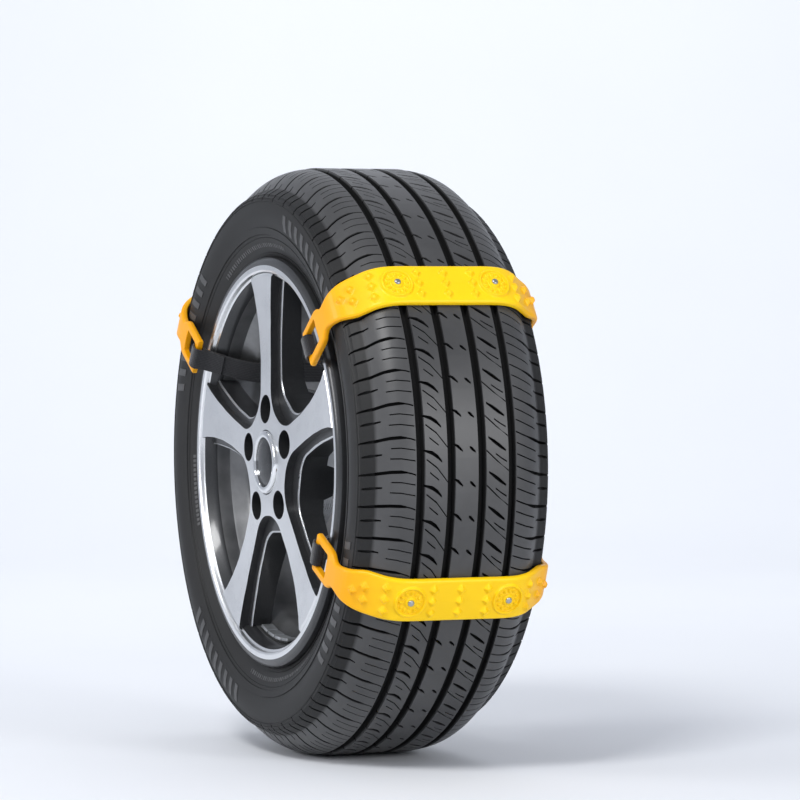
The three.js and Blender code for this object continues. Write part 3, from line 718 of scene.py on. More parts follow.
# The slots of one pitch: stations of (across, round) in millimetres, the width and the depth.
# Across runs from the outside, and past 90 it runs down the sidewall; round runs up the near tread.
TREAD_SLOTS = (
    (((-103, -3.4), (-90, -0.8), (-80, 1.2), (-70, 1.6), (-64, 1)), 3.6, 5.5),
    (((-64.5, 1), (-60, 0), (-55.5, -1.6)), 1.6, 4),
    (((-79, -9.4), (-70, -9.2), (-56, -11.6)), 1.3, 4),
    (((-80, -20.2), (-70, -20.2), (-56, -22.6)), 1.3, 4),
    (((-99, -18.4), (-93, -17), (-86, -15.6)), 3.4, 4),
    (((-46.8, -12.4), (-38, -15), (-32, -19), (-27.4, -24)), 4.4, 6),
    (((-44.6, -21.4), (-33, -30), (-21, -45)), 1.8, 4),
    (((-41, -34.6), (-36, -38.6), (-31, -42.4)), 1.7, 4),
    (((-13.6, -6.4), (-9, -9.2), (-4.5, -13.4)), 4.2, 5),
    (((3, -9.4), (5.6, -11), (9.6, -14.4)), 4.2, 5),
    (((24, 0.4), (31, -4.4), (37, -8.8), (43.2, -13.2)), 4.4, 6),
    (((21.5, -13), (33, -23.6), (46, -34)), 1.8, 4),
    (((31.6, -16.4), (38, -21), (44, -24.6)), 1.7, 4),
    (((103, -6.6), (90, -4.6), (80, -2.4), (70, 0.6)), 3.6, 5.5),
    (((70.5, 0.5), (62, 3.4), (55.5, 6)), 1.6, 4),
    (((82, -14.6), (70, -10.6), (56, -5.4)), 1.3, 4),
    (((82, -26.2), (70, -22.2), (56, -17)), 1.3, 4),
    (((99, -21.6), (93, -20.6), (86, -19)), 3.4, 4),
)


def crown_radius(y):
    """The tread's radius at a distance from the tyre's middle, in millimetres."""
    radius = TYRE_RADIUS / MM
    if abs(y) <= CROWN_FLAT:
        return radius
    return radius - SHOULDER_DROP * (abs(y) / SHOULDER_Y) ** SHOULDER_POWER


def side_half_width(radius):
    return curve_value(SIDEWALL, radius)


def tyre_surface(across):
    """The (y, radius) of a place across the tread, or down the sidewall when past 90."""
    edge_y, edge_radius = SHOULDER_EDGE
    if abs(across) <= edge_y:
        return across, crown_radius(across)
    radius = edge_radius - (abs(across) - edge_y)
    side = 1 if across > 0 else -1
    return side * side_half_width(radius), radius


def tyre_normal(across):
    near_y, near_radius = tyre_surface(across - 0.5)
    far_y, far_radius = tyre_surface(across + 0.5)
    length = hypot(far_y - near_y, far_radius - near_radius)
    return -(far_radius - near_radius) / length, (far_y - near_y) / length


def tyre_half_outline():
    """From the crown's middle over the shoulder and down to the bead, then back inside, as (radius, y)."""
    depth = settings().tyre.groove_depth / MM
    points = []
    for middle in GROOVES[2:]:
        near, far = middle - GROOVE_HALF_WIDTH, middle + GROOVE_HALF_WIDTH
        floor = TYRE_RADIUS / MM - depth
        points += [(crown_radius(near), near), (floor, near + GROOVE_TAPER)]
        points += [(floor, far - GROOVE_TAPER), (crown_radius(far), far)]
    points += [(crown_radius(y), y) for y in (60, 65, 70, 74, 78, 82, 86, 88.6)]
    points.append(SHOULDER_EDGE[::-1])
    plain = [292, 290.4, 277, 273, 268, 263, 258, 254.5, 237, 232, 228, 218, 215, 210]
    stations = [(radius, 0.0) for radius in plain]
    for outer, inner, height in SIDE_RINGS:
        stations += [(outer, 0.0), (outer - 0.45, height), (inner + 0.45, height), (inner, 0.0)]
    stations.sort(reverse=True)
    points += [(radius, side_half_width(radius) + height) for radius, height in stations]
    points += [(204.4, 88.4), (203.8, 87.6), (203.8, 76), (206, 75.5)]
    points += [(222, 79), (240, 89), (262, 97), (278, 95), (288, 85), (295, 72), (298, 50)]
    return points


def sector(name, outline, pitch, steps):
    """A slice of the tyre near the top of the wheel, one pitch long. Both its ends stay closed."""
    start = Matrix.Rotation(-pitch / 2, 3, AXLE)
    piece = outline_piece(name, [start @ Vector((0, y * MM, r * MM)) for r, y in outline], fill=False)
    with editing(piece):
        bpy.ops.mesh.spin(steps=steps, angle=pitch, center=(0, 0, 0), axis=AXLE)
    # The spin may turn either way, so the slice is brought back near the top by its own middle.
    middle = sum((vertex.co.x for vertex in piece.data.vertices)) / len(piece.data.vertices)
    if abs(middle) > 1 * MM:
        moved(piece, Matrix.Rotation(-atan2(middle, SLICE_RADIUS), 4, AXLE))
    return close_up(piece)


def slot_tool(stations, width, depth):
    """A bent bar that cuts one slot: its sides follow the rubber's surface, above it and below it."""
    rings = []
    last = len(stations) - 1
    for i, (across, round_) in enumerate(stations):
        y, radius = tyre_surface(across)
        normal_y, normal_r = tyre_normal(across)
        half = width / 2 * (0.5 if i in (0, last) and width > 2 else 1.0)
        ring = []
        for side, height in ((-1, 4), (1, 4), (1, -depth), (-1, -depth)):
            angle = -(round_ + side * half) * MM / TYRE_RADIUS
            r = (radius + normal_r * height) * MM
            ring.append((r * sin(angle), (y + normal_y * height) * MM, r * cos(angle)))
        rings.append(ring)
    return skin("slot_tool", rings)


def tread_tools(pitch):
    """All the slots of one pitch, with those of its neighbours that reach into it."""
    tools = []
    for stations, width, depth in TREAD_SLOTS:
        tool = slot_tool(stations, width, depth)
        for angle in (-pitch, 0, pitch, 2 * pitch):
            tools.append(moved(copied(tool, "slot_tool"), Matrix.Rotation(angle, 4, AXLE)))
        bpy.data.objects.remove(tool)
    return joined(tools)


def side_mark(angle, low, high, width, slant, side, height):
    """A raised bar on the sidewall between two radii, leaning by slant millimetres."""
    rings = []
    for share in (0, 0.5, 1):
        radius = low + (high - low) * share
        y = side * side_half_width(radius)
        ring = []
        for edge, lift in ((-0.5, -0.6), (-0.46, height), (0.46, height), (0.5, -0.6)):
            turn = angle + (edge * width + slant * (share - 0.5)) / radius
            ring.append((radius * cos(turn) * MM, (y + side * lift) * MM, radius * sin(turn) * MM))
        rings.append(ring)
    return skin("side_mark", rings)


def side_marks(side):
    """Plain slanted bars and rows of short dashes."""
    marks = []
    for middles, count, pitch, low, high, widths, slant, height in MARK_GROUPS:
        for middle in middles:
            for i in range(count):
                angle = radians(middle) + (i - (count - 1) / 2) * pitch
                width = widths[i % len(widths)]
                marks.append(side_mark(angle, low, high, width, slant, side, height))
    return marks


class WHEEL_OT_tyre(bpy.types.Operator):
    """Model the tyre, one pitch of its tread at a time, and the marks on its sidewalls"""

    bl_idname = "wheel.tyre"
    bl_label = "Tyre"

    def execute(self, context):
        count = settings().tyre.pitches
        pitch = 2 * pi / count
        half = tyre_half_outline()
        outline = [*half, *[(r, -y) for r, y in reversed(half)]]
        tyre = sector("tyre_rubber", outline, pitch, 4)
        cut(tyre, tread_tools(pitch), tangled=True)
        bpy.ops.object.empty_add(rotation=(0, pitch, 0))
        turner = context.object
        modified(
            tyre,
            "ARRAY",
            count=count,
            use_relative_offset=False,
            use_object_offset=True,
            offset_object=turner,
            use_merge_vertices=True,
            use_merge_vertices_cap=True,
            merge_threshold=0.01 * MM,
        )
        bpy.data.objects.remove(turner)
        close_up(tyre, 0.01 * MM)
        painted(tyre, rubber_finish())
        smooth(tyre, 32)
        finished(tyre, "tyre_rubber", "tyre")
        for side, name in ((-1, "outboard"), (1, "inboard")):
            marks = joined(side_marks(side), "sidewall_marks_" + name)
            painted(marks, side_mark_finish())
            finished(smooth(marks, 30), "tyre_rubber")
        return {"FINISHED"}


# ---------- The alloy wheel ----------

SHELF_Y = -89.5
SHELF_OUTER = 212
WINDOW_OUTER = 199
LUG_CIRCLE = 57.15

# A bolt pocket and the hole in its floor: radius, outer end and inner end, along Y.
LUG_STEPS = ((15.4, -120, -62), (7.25, -120, -30))

# Half widths at each radius: a spoke's bright face, the dark shelf beside it and the bright line
# that runs along the shelf's edge.
FACE_HALF_WIDTH = ((70, 17.6), (112, 15), (140, 17), (165, 21), (185, 26), (200, 32), (212, 38))
SHELF_HALF_WIDTH = ((84, 26), (120, 25), (140, 27), (165, 31), (182, 34.2), (199, 38))
EDGE_HALF_WIDTH = ((82, 24.4), (120, 23.4), (140, 25.4), (165, 29.4), (182, 32.6), (199, 36.4))

RIM_OUTLINE = (
    (206.6, -102),
    (211.6, -102),
    (214.6, -101.8),
    (217.6, -100.6),
    (219.8, -98.4),
    (220.5, -95.4),
    (220.3, -92.4),
    (218, -90),
    (214, -88.9),
    (206, -88.9),
    (203.4, -86),
    (203.2, -71),
    (185.7, -50),
    (185.7, -16),
    (196, 20),
    (203.2, 62),
    (203.2, 86),
    (206, 88.9),
    (214, 88.9),
    (219, 90),
    (220.5, 92.6),
    (220, 96),
    (217, 98),
    (211, 98),
    (206.5, 94.4),
    (198.6, 85),
    (198, 64),
    (190.5, 20),
    (180, -13),
    (180, -50.6),
    (183, -56),
    (193, -66.4),
    (195, -69),
    (195.4, -84),
    (197, -89),
    (201, -96.6),
    (203.4, -97.4),
    (204.6, -100.8),
)


def half_spoke_step():
    """Half the angle from one spoke to the next."""
    return pi / settings().wheel.spokes


def spoke_side(keys, side):
    """The edge of a window beside one of its spokes, in the window's own frame, as (x, z)."""
    lean = side * half_spoke_step()
    points = []
    for radius, half in keys:
        x = radius * sin(lean) - side * half * cos(lean)
        points.append((x, radius * cos(lean) + side * half * sin(lean)))
    return points


def window_outline(keys, inner, outer_radius):
    """A window between two spokes, centred on +Z: inner edge, one side, outer arc, other side."""
    right = [p for p in spoke_side(keys, 1) if hypot(*p) < outer_radius]
    reach = keys[-1][1]
    edge = half_spoke_step() - atan2(reach, sqrt(outer_radius**2 - reach**2))
    sweep = [edge * k / 6 for k in range(6, -7, -1)]
    outer = [(outer_radius * sin(a), outer_radius * cos(a)) for a in sweep]
    first = atan2(right[0][0], right[0][1])
    inner_edge = [(inner * sin(a), inner * cos(a)) for a in (-first, first)]
    left = [(-x, z) for x, z in reversed(right[1:])]
    return [*inner_edge, *right[1:], *outer, *left]


def turned_about(piece, angle):
    """Turns a piece modelled at the top of the wheel to an angle round it."""
    return moved(piece, Matrix.Rotation(pi / 2 - angle, 4, AXLE))


def spoke_angles():
    wheel = settings().wheel
    return [wheel.first_spoke - 2 * pi * i / wheel.spokes for i in range(wheel.spokes)]


def rim_zone(face):
    """Which finish a face of the rim takes: 0 machined, 1 dark paint, 2 silver paint."""
    centre = face.center
    radius = hypot(centre.x, centre.z) / MM
    y = centre.y / MM
    if y < -96.5 and radius < 212.6:
        return 0
    # Faces below -80 mm that are not machined take the dark paint. Round the flange's outer edge that dark is
    # painted shade for the gap between the lip and the tyre.
    if y < -80:
        return 1
    return 2


class WHEEL_OT_alloy_wheel(bpy.types.Operator):
    """Model the alloy wheel: rim, face, spoke windows, hub and bolt pockets"""

    bl_idname = "wheel.alloy_wheel"
    bl_label = "Alloy wheel"

    def execute(self, context):
        bright, dark, silver = machined_finish(), painted_finish(), barrel_finish()
        rim = painted(turned("alloy_wheel_rim", RIM_OUTLINE, 160), bright, dark, silver)
        for face in rim.data.polygons:
            face.material_index = rim_zone(face)
        face = self.face_disc(bright, dark, silver)
        wheel = cut(rim, face, "UNION")
        self.lug_pockets(wheel, dark)
        eased(wheel, 0.5)
        smooth(wheel, 30)
        finished(named(wheel, "alloy_wheel_casting"), "wheel_alloy", "alloy_wheel")
        return {"FINISHED"}

    def face_disc(self, bright, dark, silver):
        outline = (
            (33.6, -95),
            (35, -99.4),
            (50, -99.2),
            (76, -98),
            (110, -97),
            (150, -97.4),
            (185, -99.4),
            (200, -100.6),
            (203, -99),
            (202.4, -67),
            (150, -66),
            (90, -62),
            (80, -60),
            (77, -45.6),
            (76, -45),
            (33.6, -45),
        )
        disc = painted(turned("face_disc", outline, 160), bright, dark, silver)
        # Each cut: its half widths, inner radius, outer radius, floor, corner rounding and finish.
        steps = (
            (FACE_HALF_WIDTH, 62, SHELF_OUTER, SHELF_Y, 19, dark),
            (EDGE_HALF_WIDTH, 78.4, WINDOW_OUTER, SHELF_Y + 1.6, 17, bright),
            (SHELF_HALF_WIDTH, 80, WINDOW_OUTER, 20, 16, dark),
        )
        for keys, inner, outer, floor, rounding, finish in steps:
            points = window_outline(keys, inner, outer)
            for angle in spoke_angles():
                tool = painted(prism("window_tool", points, -130, floor, (0, 1), rounding, 8), finish)
                cut(disc, turned_about(tool, angle + half_spoke_step()))
        return disc

    def lug_pockets(self, wheel, dark):
        on_circle = Matrix.Translation((0, 0, LUG_CIRCLE * MM))
        for angle in spoke_angles():
            for radius, low, high in LUG_STEPS:
                tool = moved(rod("lug_tool", radius, low, high, 40), on_circle)
                cut(wheel, turned_about(painted(tool, dark), angle))


class WHEEL_OT_centre_cap(bpy.types.Operator):
    """Model the centre cap: its dark face and the chrome trim ring round it"""

    bl_idname = "wheel.centre_cap"
    bl_label = "Centre cap"

    def execute(self, context):
        ring = (
            (26.4, -101.4),
            (27, -102.6),
            (28.6, -103),
            (31, -103),
            (33, -102),
            (33.9, -100),
            (34, -93.2),
            (32.6, -93),
            (32.6, -78.2),
            (30.6, -78),
            (30.6, -97),
            (26.4, -98),
        )
        trim = painted(turned("cap_trim_ring", ring, 96), chrome_finish())
        finished(smooth(trim), "cap_metal")
        face = ((0, -102.3), (8, -102.2), (16, -101.7), (22, -101), (26, -100), (26, -98.5), (0, -98.5))
        disc = painted(turned("cap_face", face, 96), cap_face_finish())
        finished(smooth(disc), "cap_metal", "centre_cap")
        return {"FINISHED"}


# ---------- The belts ----------

# The pad's inner face in millimetres, from its middle to the end of its loop, as (y, z).
PAD_ROUTE = (
    (0, 316.7),
    (30, 316.7),
    (50, 316.6),
    (64, 315),
    (76, 310),
    (85, 302.6),
    (93, 295.2),
    (101.4, 288.8),
    (107, 281),
    (109.7, 270),
    (110.5, 259),
    (110.8, 250),
    (110.8, 228),
    (110.8, 207.2),
)

# The pad's half width at each length from its middle, as a share of its width on the tread.
PAD_HALF_WIDTHS = (
    (0, 1.0),
    (92, 1.0),
    (104, 0.97),
    (122, 0.76),
    (136, 0.6),
    (143, 0.62),
    (150, 0.84),
    (156, 0.9),
)
STUD_AT = 53.5
CLEAT_COLUMNS = (-77, -30, 0, 30, 77)
CLEAT_ROW = 13
CLEATS_AT_END = ((99, -7.5), (99, 7.5), (111, 0))


def pad_line():
    """Stations along the pad: length from its middle, y, z and the outward normal, in millimetres."""
    half = flowing(PAD_ROUTE, 4)
    line = [(-y, z) for y, z in reversed(half[1:])] + half
    middle = len(half) - 1
    lengths = [0.0] * len(line)
    for i in range(middle + 1, len(line)):
        lengths[i] = lengths[i - 1] + hypot(line[i][0] - line[i - 1][0], line[i][1] - line[i - 1][1])
        lengths[2 * middle - i] = -lengths[i]
    stations = []
    for i, (y, z) in enumerate(line):
        y0, z0 = line[max(i - 1, 0)]
        y1, z1 = line[min(i + 1, len(line) - 1)]
        size = hypot(y1 - y0, z1 - z0)
        stations.append((lengths[i], y, z, -(z1 - z0) / size, (y1 - y0) / size))
    return stations


def pad_station(line, length):
    """The station at any length along the pad."""
    i = next((i for i in range(1, len(line)) if line[i][0] >= length), len(line) - 1)
    before, after = line[i - 1], line[i]
    share = (length - before[0]) / (after[0] - before[0])
    return [a + (b - a) * share for a, b in zip(before, after)]


def pad_half_width(length):
    return settings().belt.half_width / MM * curve_value(PAD_HALF_WIDTHS, abs(length))


def pad_ring(station):
    """The pad's cross-section at a station: flat below, crowned above, with round edges."""
    length, y, z, normal_y, normal_z = station
    half = pad_half_width(length)
    thick = settings().belt.thickness / MM
    shape = [(-half + 1, 0), (0, 0), (half - 1, 0), (half, 1), (half, thick - 2.2), (half - 0.9, thick - 0.8)]
    shape += [(half - 2.6, thick - 0.1), (0, thick), (-half + 2.6, thick - 0.1)]
    shape += [(-half + 0.9, thick - 0.8), (-half, thick - 2.2), (-half, 1)]
    ring = []
    for x, height in shape:
        fall = normal_z * x * x / (2 * TYRE_RADIUS / MM)
        ring.append((x * MM, (y + normal_y * height) * MM, (z + normal_z * height - fall) * MM))
    return ring


def stand_on_pad(piece, line, length, x, height):
    """Stands a piece modelled along +Z, at the origin, on the pad's face."""
    _, y, z, normal_y, normal_z = pad_station(line, length)
    fall = normal_z * x * x / (2 * TYRE_RADIUS / MM)
    place = Vector((x, y + normal_y * height, z + normal_z * height - fall)) * MM
    turn = Matrix.Rotation(-atan2(normal_y, normal_z), 4, "X")
    return moved(piece, Matrix.Translation(place) @ turn)


def cone(name, low_radius, high_radius, low, high, vertices, squash=1.0, turn=0.0):
    """A tapered block along +Z, in millimetres."""
    bpy.ops.object.select_all(action="DESELECT")
    bpy.ops.mesh.primitive_cone_add(
        vertices=vertices,
        radius1=low_radius * MM,
        radius2=high_radius * MM,
        depth=(high - low) * MM,
        location=(0, 0, (high + low) / 2 * MM),
        rotation=(0, 0, turn),
        scale=(1, squash, 1),
    )
    return settle(named(bpy.context.object, name))


def washer(name, inner, outer, low, high):
    """A round raised ring about +Z, in millimetres."""
    outline = [(inner, low), (outer, low), (outer - 0.5, high), (inner + 0.5, high)]
    piece = turned(name, outline, 40)
    return moved(piece, Matrix.Rotation(pi / 2, 4, "X"))


def cleats(line):
    """Rhombic studs of the pad's own plastic, in columns across the tread."""
    spots = [(length, x) for length in CLEAT_COLUMNS for x in (-CLEAT_ROW, 0, CLEAT_ROW)]
    for side in (-1, 1):
        spots += [(side * length, x) for length, x in CLEATS_AT_END]
    pieces = []
    for length, x in spots:
        block = cone("cleat", 7.2, 2.9, -1.5, 3.9, 4, squash=0.86)
        pieces.append(stand_on_pad(block, line, length, x, settings().belt.thickness / MM))
    return pieces


def bosses(line):
    """A ring, a circle of petals and a collar round each steel stud."""
    pieces = []
    top = settings().belt.thickness / MM
    for length in (-STUD_AT, STUD_AT):
        parts = [washer("boss_ring", 14.2, 17.2, -1, 1.9), cone("boss_collar", 6.8, 5.4, -1, 2.4, 32)]
        for i in range(12):
            petal = cone("boss_petal", 2.7, 1.6, -1, 1.9, 12, squash=0.6)
            moved(petal, Matrix.Rotation(i * pi / 6, 4, "Z") @ Matrix.Translation((10.4 * MM, 0, 0)))
            parts.append(petal)
        pieces += [stand_on_pad(part, line, length, 0, top) for part in parts]
    return pieces


def loop_slot_tool(side):
    """Cuts the loop's slot, with round corners."""
    half, low, high = 13.4, 215.2, 243
    points = [(-half, low), (half, low), (half, high), (-half, high)]
    middle = side * 114
    return prism("slot_tool", points, middle - 12, middle + 12, [0, 1, 2, 3], 2.6, 5)


def moulded_pad():
    """One pad at the top of the wheel, its cleats and bosses melted into it."""
    line = pad_line()
    pad = skin("traction_pad", [pad_ring(station) for station in line])
    for side in (-1, 1):
        cut(pad, loop_slot_tool(side))
    pad = joined([pad, *bosses(line), *cleats(line)])
    modified(pad, "REMESH", mode="VOXEL", voxel_size=0.8 * MM, adaptivity=0.0)
    modified(pad, "SMOOTH", factor=0.5, iterations=3)
    return pad


def steel_stud():
    """A hard steel stud with a worn, rounded tip."""
    outline = [(0, -3), (3.5, -3), (3.5, 2.6), (3.2, 3.4), (2.4, 4.1), (1.2, 4.3), (0, 4.3)]
    return moved(turned("steel_stud", outline, 32), Matrix.Rotation(pi / 2, 4, "X"))


class WHEEL_OT_traction_pads(bpy.types.Operator):
    """Model the moulded pads and their steel studs"""

    bl_idname = "wheel.traction_pads"
    bl_label = "Traction pads"

    def execute(self, context):
        pattern = moulded_pad()
        yellow = pad_finish()
        steel = steel_finish("stud_steel", BRIGHT_STEEL, 0.28)
        line = pad_line()
        top = settings().belt.thickness / MM
        for belt in BELTS:
            pad = turned_about(copied(pattern, "pad_" + belt), belt_angle(belt))
            finished(smooth(painted(pad, yellow), 60), "yellow_tpu", "traction_pad_" + belt)
            for side, name in ((-1, "outboard"), (1, "inboard")):
                stud = stand_on_pad(steel_stud(), line, side * STUD_AT, 0, top)
                named(turned_about(stud, belt_angle(belt)), f"steel_stud_{belt}_{name}")
                finished(smooth(painted(stud, steel)), "stud_steel", f"stud_{belt}_{name}")
        bpy.data.objects.remove(pattern)
        return {"FINISHED"}


# ---------- The webbing ----------

WEB_HALF_WIDTH = 12.5
WEB_THICKNESS = 1.9

# The turn round a loop's bar, on the inboard side.
BAR_TURN = (
    (117.6, 204.2),
    (119.6, 207.6),
    (119.7, 213.4),
    (118, 216.3),
    (114.4, 216.8),
    (110.8, 216.3),
    (109.1, 213.4),
    (109, 209),
)

# The long strap's own line: its sewn end, its turn round the outboard bar, its run to the buckle.
LONG_ROUTE = (
    (-90, 189.6),
    (-104.6, 199.8),
    (-112.5, 202.6),
    *[(-y, z) for y, z in BAR_TURN],
    (-107.4, 205.2),
    (-104, 202.5),
    (-84, 188.4),
    (-70, 181),
    (-54, 175.6),
    (-40, 175),
    (0, 175),
    (60, 175),
    (100.6, 175),
)

# The tab's own line: its turn round the inboard bar, then round the buckle's bar and back.
TAB_ROUTE = (
    (98, 196),
    (106, 201.4),
    (112.5, 202.8),
    *BAR_TURN,
    (107, 205.6),
    (102, 202.4),
    (84, 188.4),
    (79.6, 184.2),
    (76.4, 183.2),
    (73, 183.2),
    (71, 181.6),
    (71, 179.8),
    (73, 178.7),
    (76.6, 178.8),
    (80.2, 181.2),
    (88, 188),
)


def web_ring(y, z, normal_y, normal_z, half, thick):
    """The webbing's flat section with rounded selvedges."""
    edge = thick / 2
    shape = [(-half, 0), (-half + 0.5, -edge), (0, -edge), (half - 0.5, -edge), (half, 0)]
    shape += [(half - 0.5, edge), (0, edge), (-half + 0.5, edge)]
    return [(x * MM, (y + normal_y * h) * MM, (z + normal_z * h) * MM) for x, h in shape]


def webbing(name, route):
    """A strap of webbing along a route, with its weave laid along it."""
    line = flowing(route, 1.6)
    rings = []
    for i, (y, z) in enumerate(line):
        y0, z0 = line[max(i - 1, 0)]
        y1, z1 = line[min(i + 1, len(line) - 1)]
        size = hypot(y1 - y0, z1 - z0)
        rings.append(web_ring(y, z, -(z1 - z0) / size, (y1 - y0) / size, WEB_HALF_WIDTH, WEB_THICKNESS))
    strap = skin(name, rings)
    length = sum(hypot(b[0] - a[0], b[1] - a[1]) for a, b in zip(line, line[1:])) * MM
    around = 4 * WEB_HALF_WIDTH * MM
    for loop in strap.data.uv_layers.active.data:
        loop.uv = (loop.uv[0] * around, loop.uv[1] * length)
    return strap


class WHEEL_OT_webbing(bpy.types.Operator):
    """Model the long straps and the short tabs of webbing"""

    bl_idname = "wheel.webbing"
    bl_label = "Webbing"

    def execute(self, context):
        nylon = webbing_finish()
        for kind, route in (("long_strap_", LONG_ROUTE), ("tab_strap_", TAB_ROUTE)):
            for belt in BELTS:
                strap = turned_about(webbing("webbing_" + kind + belt, route), belt_angle(belt))
                finished(smooth(painted(strap, nylon), 50), "webbing", kind + belt)
        return {"FINISHED"}


# ---------- The buckles ----------

PIN_Y = 47
PIN_Z = 166
BUCKLE_HALF_WIDTH = 15.6
SHEET = 1.6
BUCKLE_BASE_Z = 176.4
BUCKLE_STEP = 4.2
BUCKLE_ENDS = (30, 77)
SPRING_RADIUS = 3.05
SPRING_WIRE = 0.5
SPRING_TURNS = 7
SPRING_HALF = 3.7
SPRING_END = 4
SPRING_LEGS = (5.6, -2.6)

# The lever's outline past its boss: its tail first, then its toothed nose, as (y, height from the pin).
LEVER_PROFILE = (
    (53, -4.6),
    (72, -4.4),
    (76, -4.8),
    (79.6, -6.2),
    (82.4, -6.9),
    (84.2, -5.8),
    (83.6, -4.5),
    (81, -3.2),
    (77, -2.1),
    (70, -1.8),
    (56, -1.4),
    (53.6, -0.2),
    (52, 2),
    (49.9, 6),
    (48.6, 7.4),
    (47.8, 6.5),
    (46.9, 6.9),
    (46.2, 5.9),
)


def side_plate(name, outline, low_x, high_x, corners=(), rounding=0.0):
    """Pushes an outline of (y, z) points along X, in millimetres."""
    piece = prism(name, [(-y, z) for y, z in outline], low_x, high_x, corners, rounding, 5)
    return moved(piece, Matrix.Rotation(-pi / 2, 4, "Z"))


def pin_arc(radius, start, end, steps):
    """Points of (y, z) round an arc about the pin, from one angle to another in degrees."""
    turns = [radians(start + (end - start) * k / steps) for k in range(steps + 1)]
    return [(PIN_Y + radius * cos(t), PIN_Z + radius * sin(t)) for t in turns]


def buckle_body():
    """The pressed frame: a stepped floor, a slot for the tab and two ears for the pin."""
    first, last = BUCKLE_ENDS
    low, high = BUCKLE_BASE_Z, BUCKLE_BASE_Z + BUCKLE_STEP
    floor = [(first, low), (58, low), (60, low + 0.5), (63, high - 0.5), (65, high), (last, high)]
    floor += [(last, high + SHEET), (64.4, high + SHEET), (62.4, high + SHEET - 0.5)]
    floor += [(59.4, low + SHEET + 0.5), (57.4, low + SHEET), (first, low + SHEET)]
    body = side_plate("buckle", floor, -BUCKLE_HALF_WIDTH, BUCKLE_HALF_WIDTH)
    foot = low + SHEET - 0.4
    ear = [(first + 3, foot), *pin_arc(6, 200, 340, 12), (57.4, foot)]
    for side in (-1, 1):
        near, far = sorted((side * BUCKLE_HALF_WIDTH, side * (BUCKLE_HALF_WIDTH - SHEET)))
        cut(body, side_plate("ear", ear, near, far), "UNION")
    slot = [(-13.2, 68), (13.2, 68), (13.2, 72), (-13.2, 72)]
    tool = outline_piece("slot_tool", [(x * MM, y * MM, (high - 3) * MM) for x, y in slot], fill=True)
    with editing(tool):
        bpy.ops.mesh.bevel(offset=1.2 * MM, segments=4, affect="VERTICES")
        pushed_out((0, 0, 8 * MM))
    cut(body, tool)
    cut(body, at_pin(rod("pin_tool", 2.2, -20, 20, 24, axis="X")))
    return eased(body, 0.3)


def at_pin(piece):
    return moved(piece, Matrix.Translation((0, PIN_Y * MM, PIN_Z * MM)))


def cam_lever():
    """The lever: a round boss, a toothed nose on the webbing and a curled tail."""
    outline = [(y, PIN_Z + height) for y, height in LEVER_PROFILE]
    outline += pin_arc(5.2, 104, 256, 12)
    half = BUCKLE_HALF_WIDTH - SHEET - 0.4
    lever = side_plate("cam_lever", outline, -half, half)
    near, far = PIN_Y - 12, PIN_Y + 4.8
    low, high = PIN_Z - 12, PIN_Z + 12
    notch = [(near, low), (far, low), (far, high), (near, high)]
    cut(lever, side_plate("notch_tool", notch, -4.9, 4.9, (1, 2), 1.2))
    cut(lever, at_pin(rod("pin_tool", 2.4, -20, 20, 24, axis="X")))
    return eased(lever, 0.3)


def pivot_pin():
    """A riveted pin with domed heads."""
    face = BUCKLE_HALF_WIDTH + 0.4
    tip = face + 1.4
    end = [(1.94, face), (3.3, face), (3.3, face + 0.5), (2.7, face + 1.1), (1.4, tip)]
    outline = [(0, -tip), *[(r, -x) for r, x in reversed(end)], *end, (0, tip)]
    return at_pin(moved(turned("pivot_pin", outline, 32), Matrix.Rotation(pi / 2, 4, "Z")))


def coil_spring():
    """A torsion spring: close coils of wire round the pin, with a long leg and a short one."""
    steps = 20
    last = SPRING_TURNS * steps
    first_leg, last_leg = SPRING_LEGS
    line = [Vector((-SPRING_END, SPRING_RADIUS, first_leg))]
    for i in range(last + 1):
        angle = 2 * pi * i / steps
        x = -SPRING_HALF + 2 * SPRING_HALF * i / last
        line.append(Vector((x, SPRING_RADIUS * cos(angle), -SPRING_RADIUS * sin(angle))))
    line.append(Vector((SPRING_END, SPRING_RADIUS, last_leg)))
    sides = [2 * pi * k / 8 for k in range(8)]
    rings = []
    for i, point in enumerate(line):
        ahead = (line[min(i + 1, len(line) - 1)] - line[max(i - 1, 0)]).normalized()
        side = ahead.cross(Vector((1, 0, 0))).normalized()
        up = side.cross(ahead)
        ring = [point + (side * cos(turn) + up * sin(turn)) * SPRING_WIRE for turn in sides]
        rings.append([corner * MM for corner in ring])
    return at_pin(skin("cam_spring", rings))


class WHEEL_OT_buckles(bpy.types.Operator):
    """Model each cam buckle: its body, lever, pin and spring"""

    bl_idname = "wheel.buckles"
    bl_label = "Buckles"

    def execute(self, context):
        oxide = oxide_finish()
        pin = steel_finish("pin_steel", BRIGHT_STEEL, 0.28)
        spring = steel_finish("spring_steel", SPRING_STEEL, 0.25)
        parts = (
            (buckle_body(), "buckle_body_", "black_oxide", oxide),
            (cam_lever(), "cam_lever_", "black_oxide", oxide),
            (pivot_pin(), "pivot_pin_", "stud_steel", pin),
            (coil_spring(), "cam_spring_", "spring_steel", spring),
        )
        for pattern, node, slot, finish in parts:
            for belt in BELTS:
                part = turned_about(copied(pattern, "made_" + node + belt), belt_angle(belt))
                body = node + belt if node == "cam_lever_" else "wheel"
                finished(smooth(painted(part, finish), 40), slot, node + belt, body=body)
            bpy.data.objects.remove(pattern)
        return {"FINISHED"}


# ---------- Valve and balance weights ----------

VALVE_ANGLE = -10
VALVE_SEAT = (190.9, -59.5)
VALVE_TILT = 48.8
WEIGHT_ANGLE = -97
WEIGHT_PITCH = 6.2
WEIGHT_Y = -75
TAPE_RADIUS = 194.3


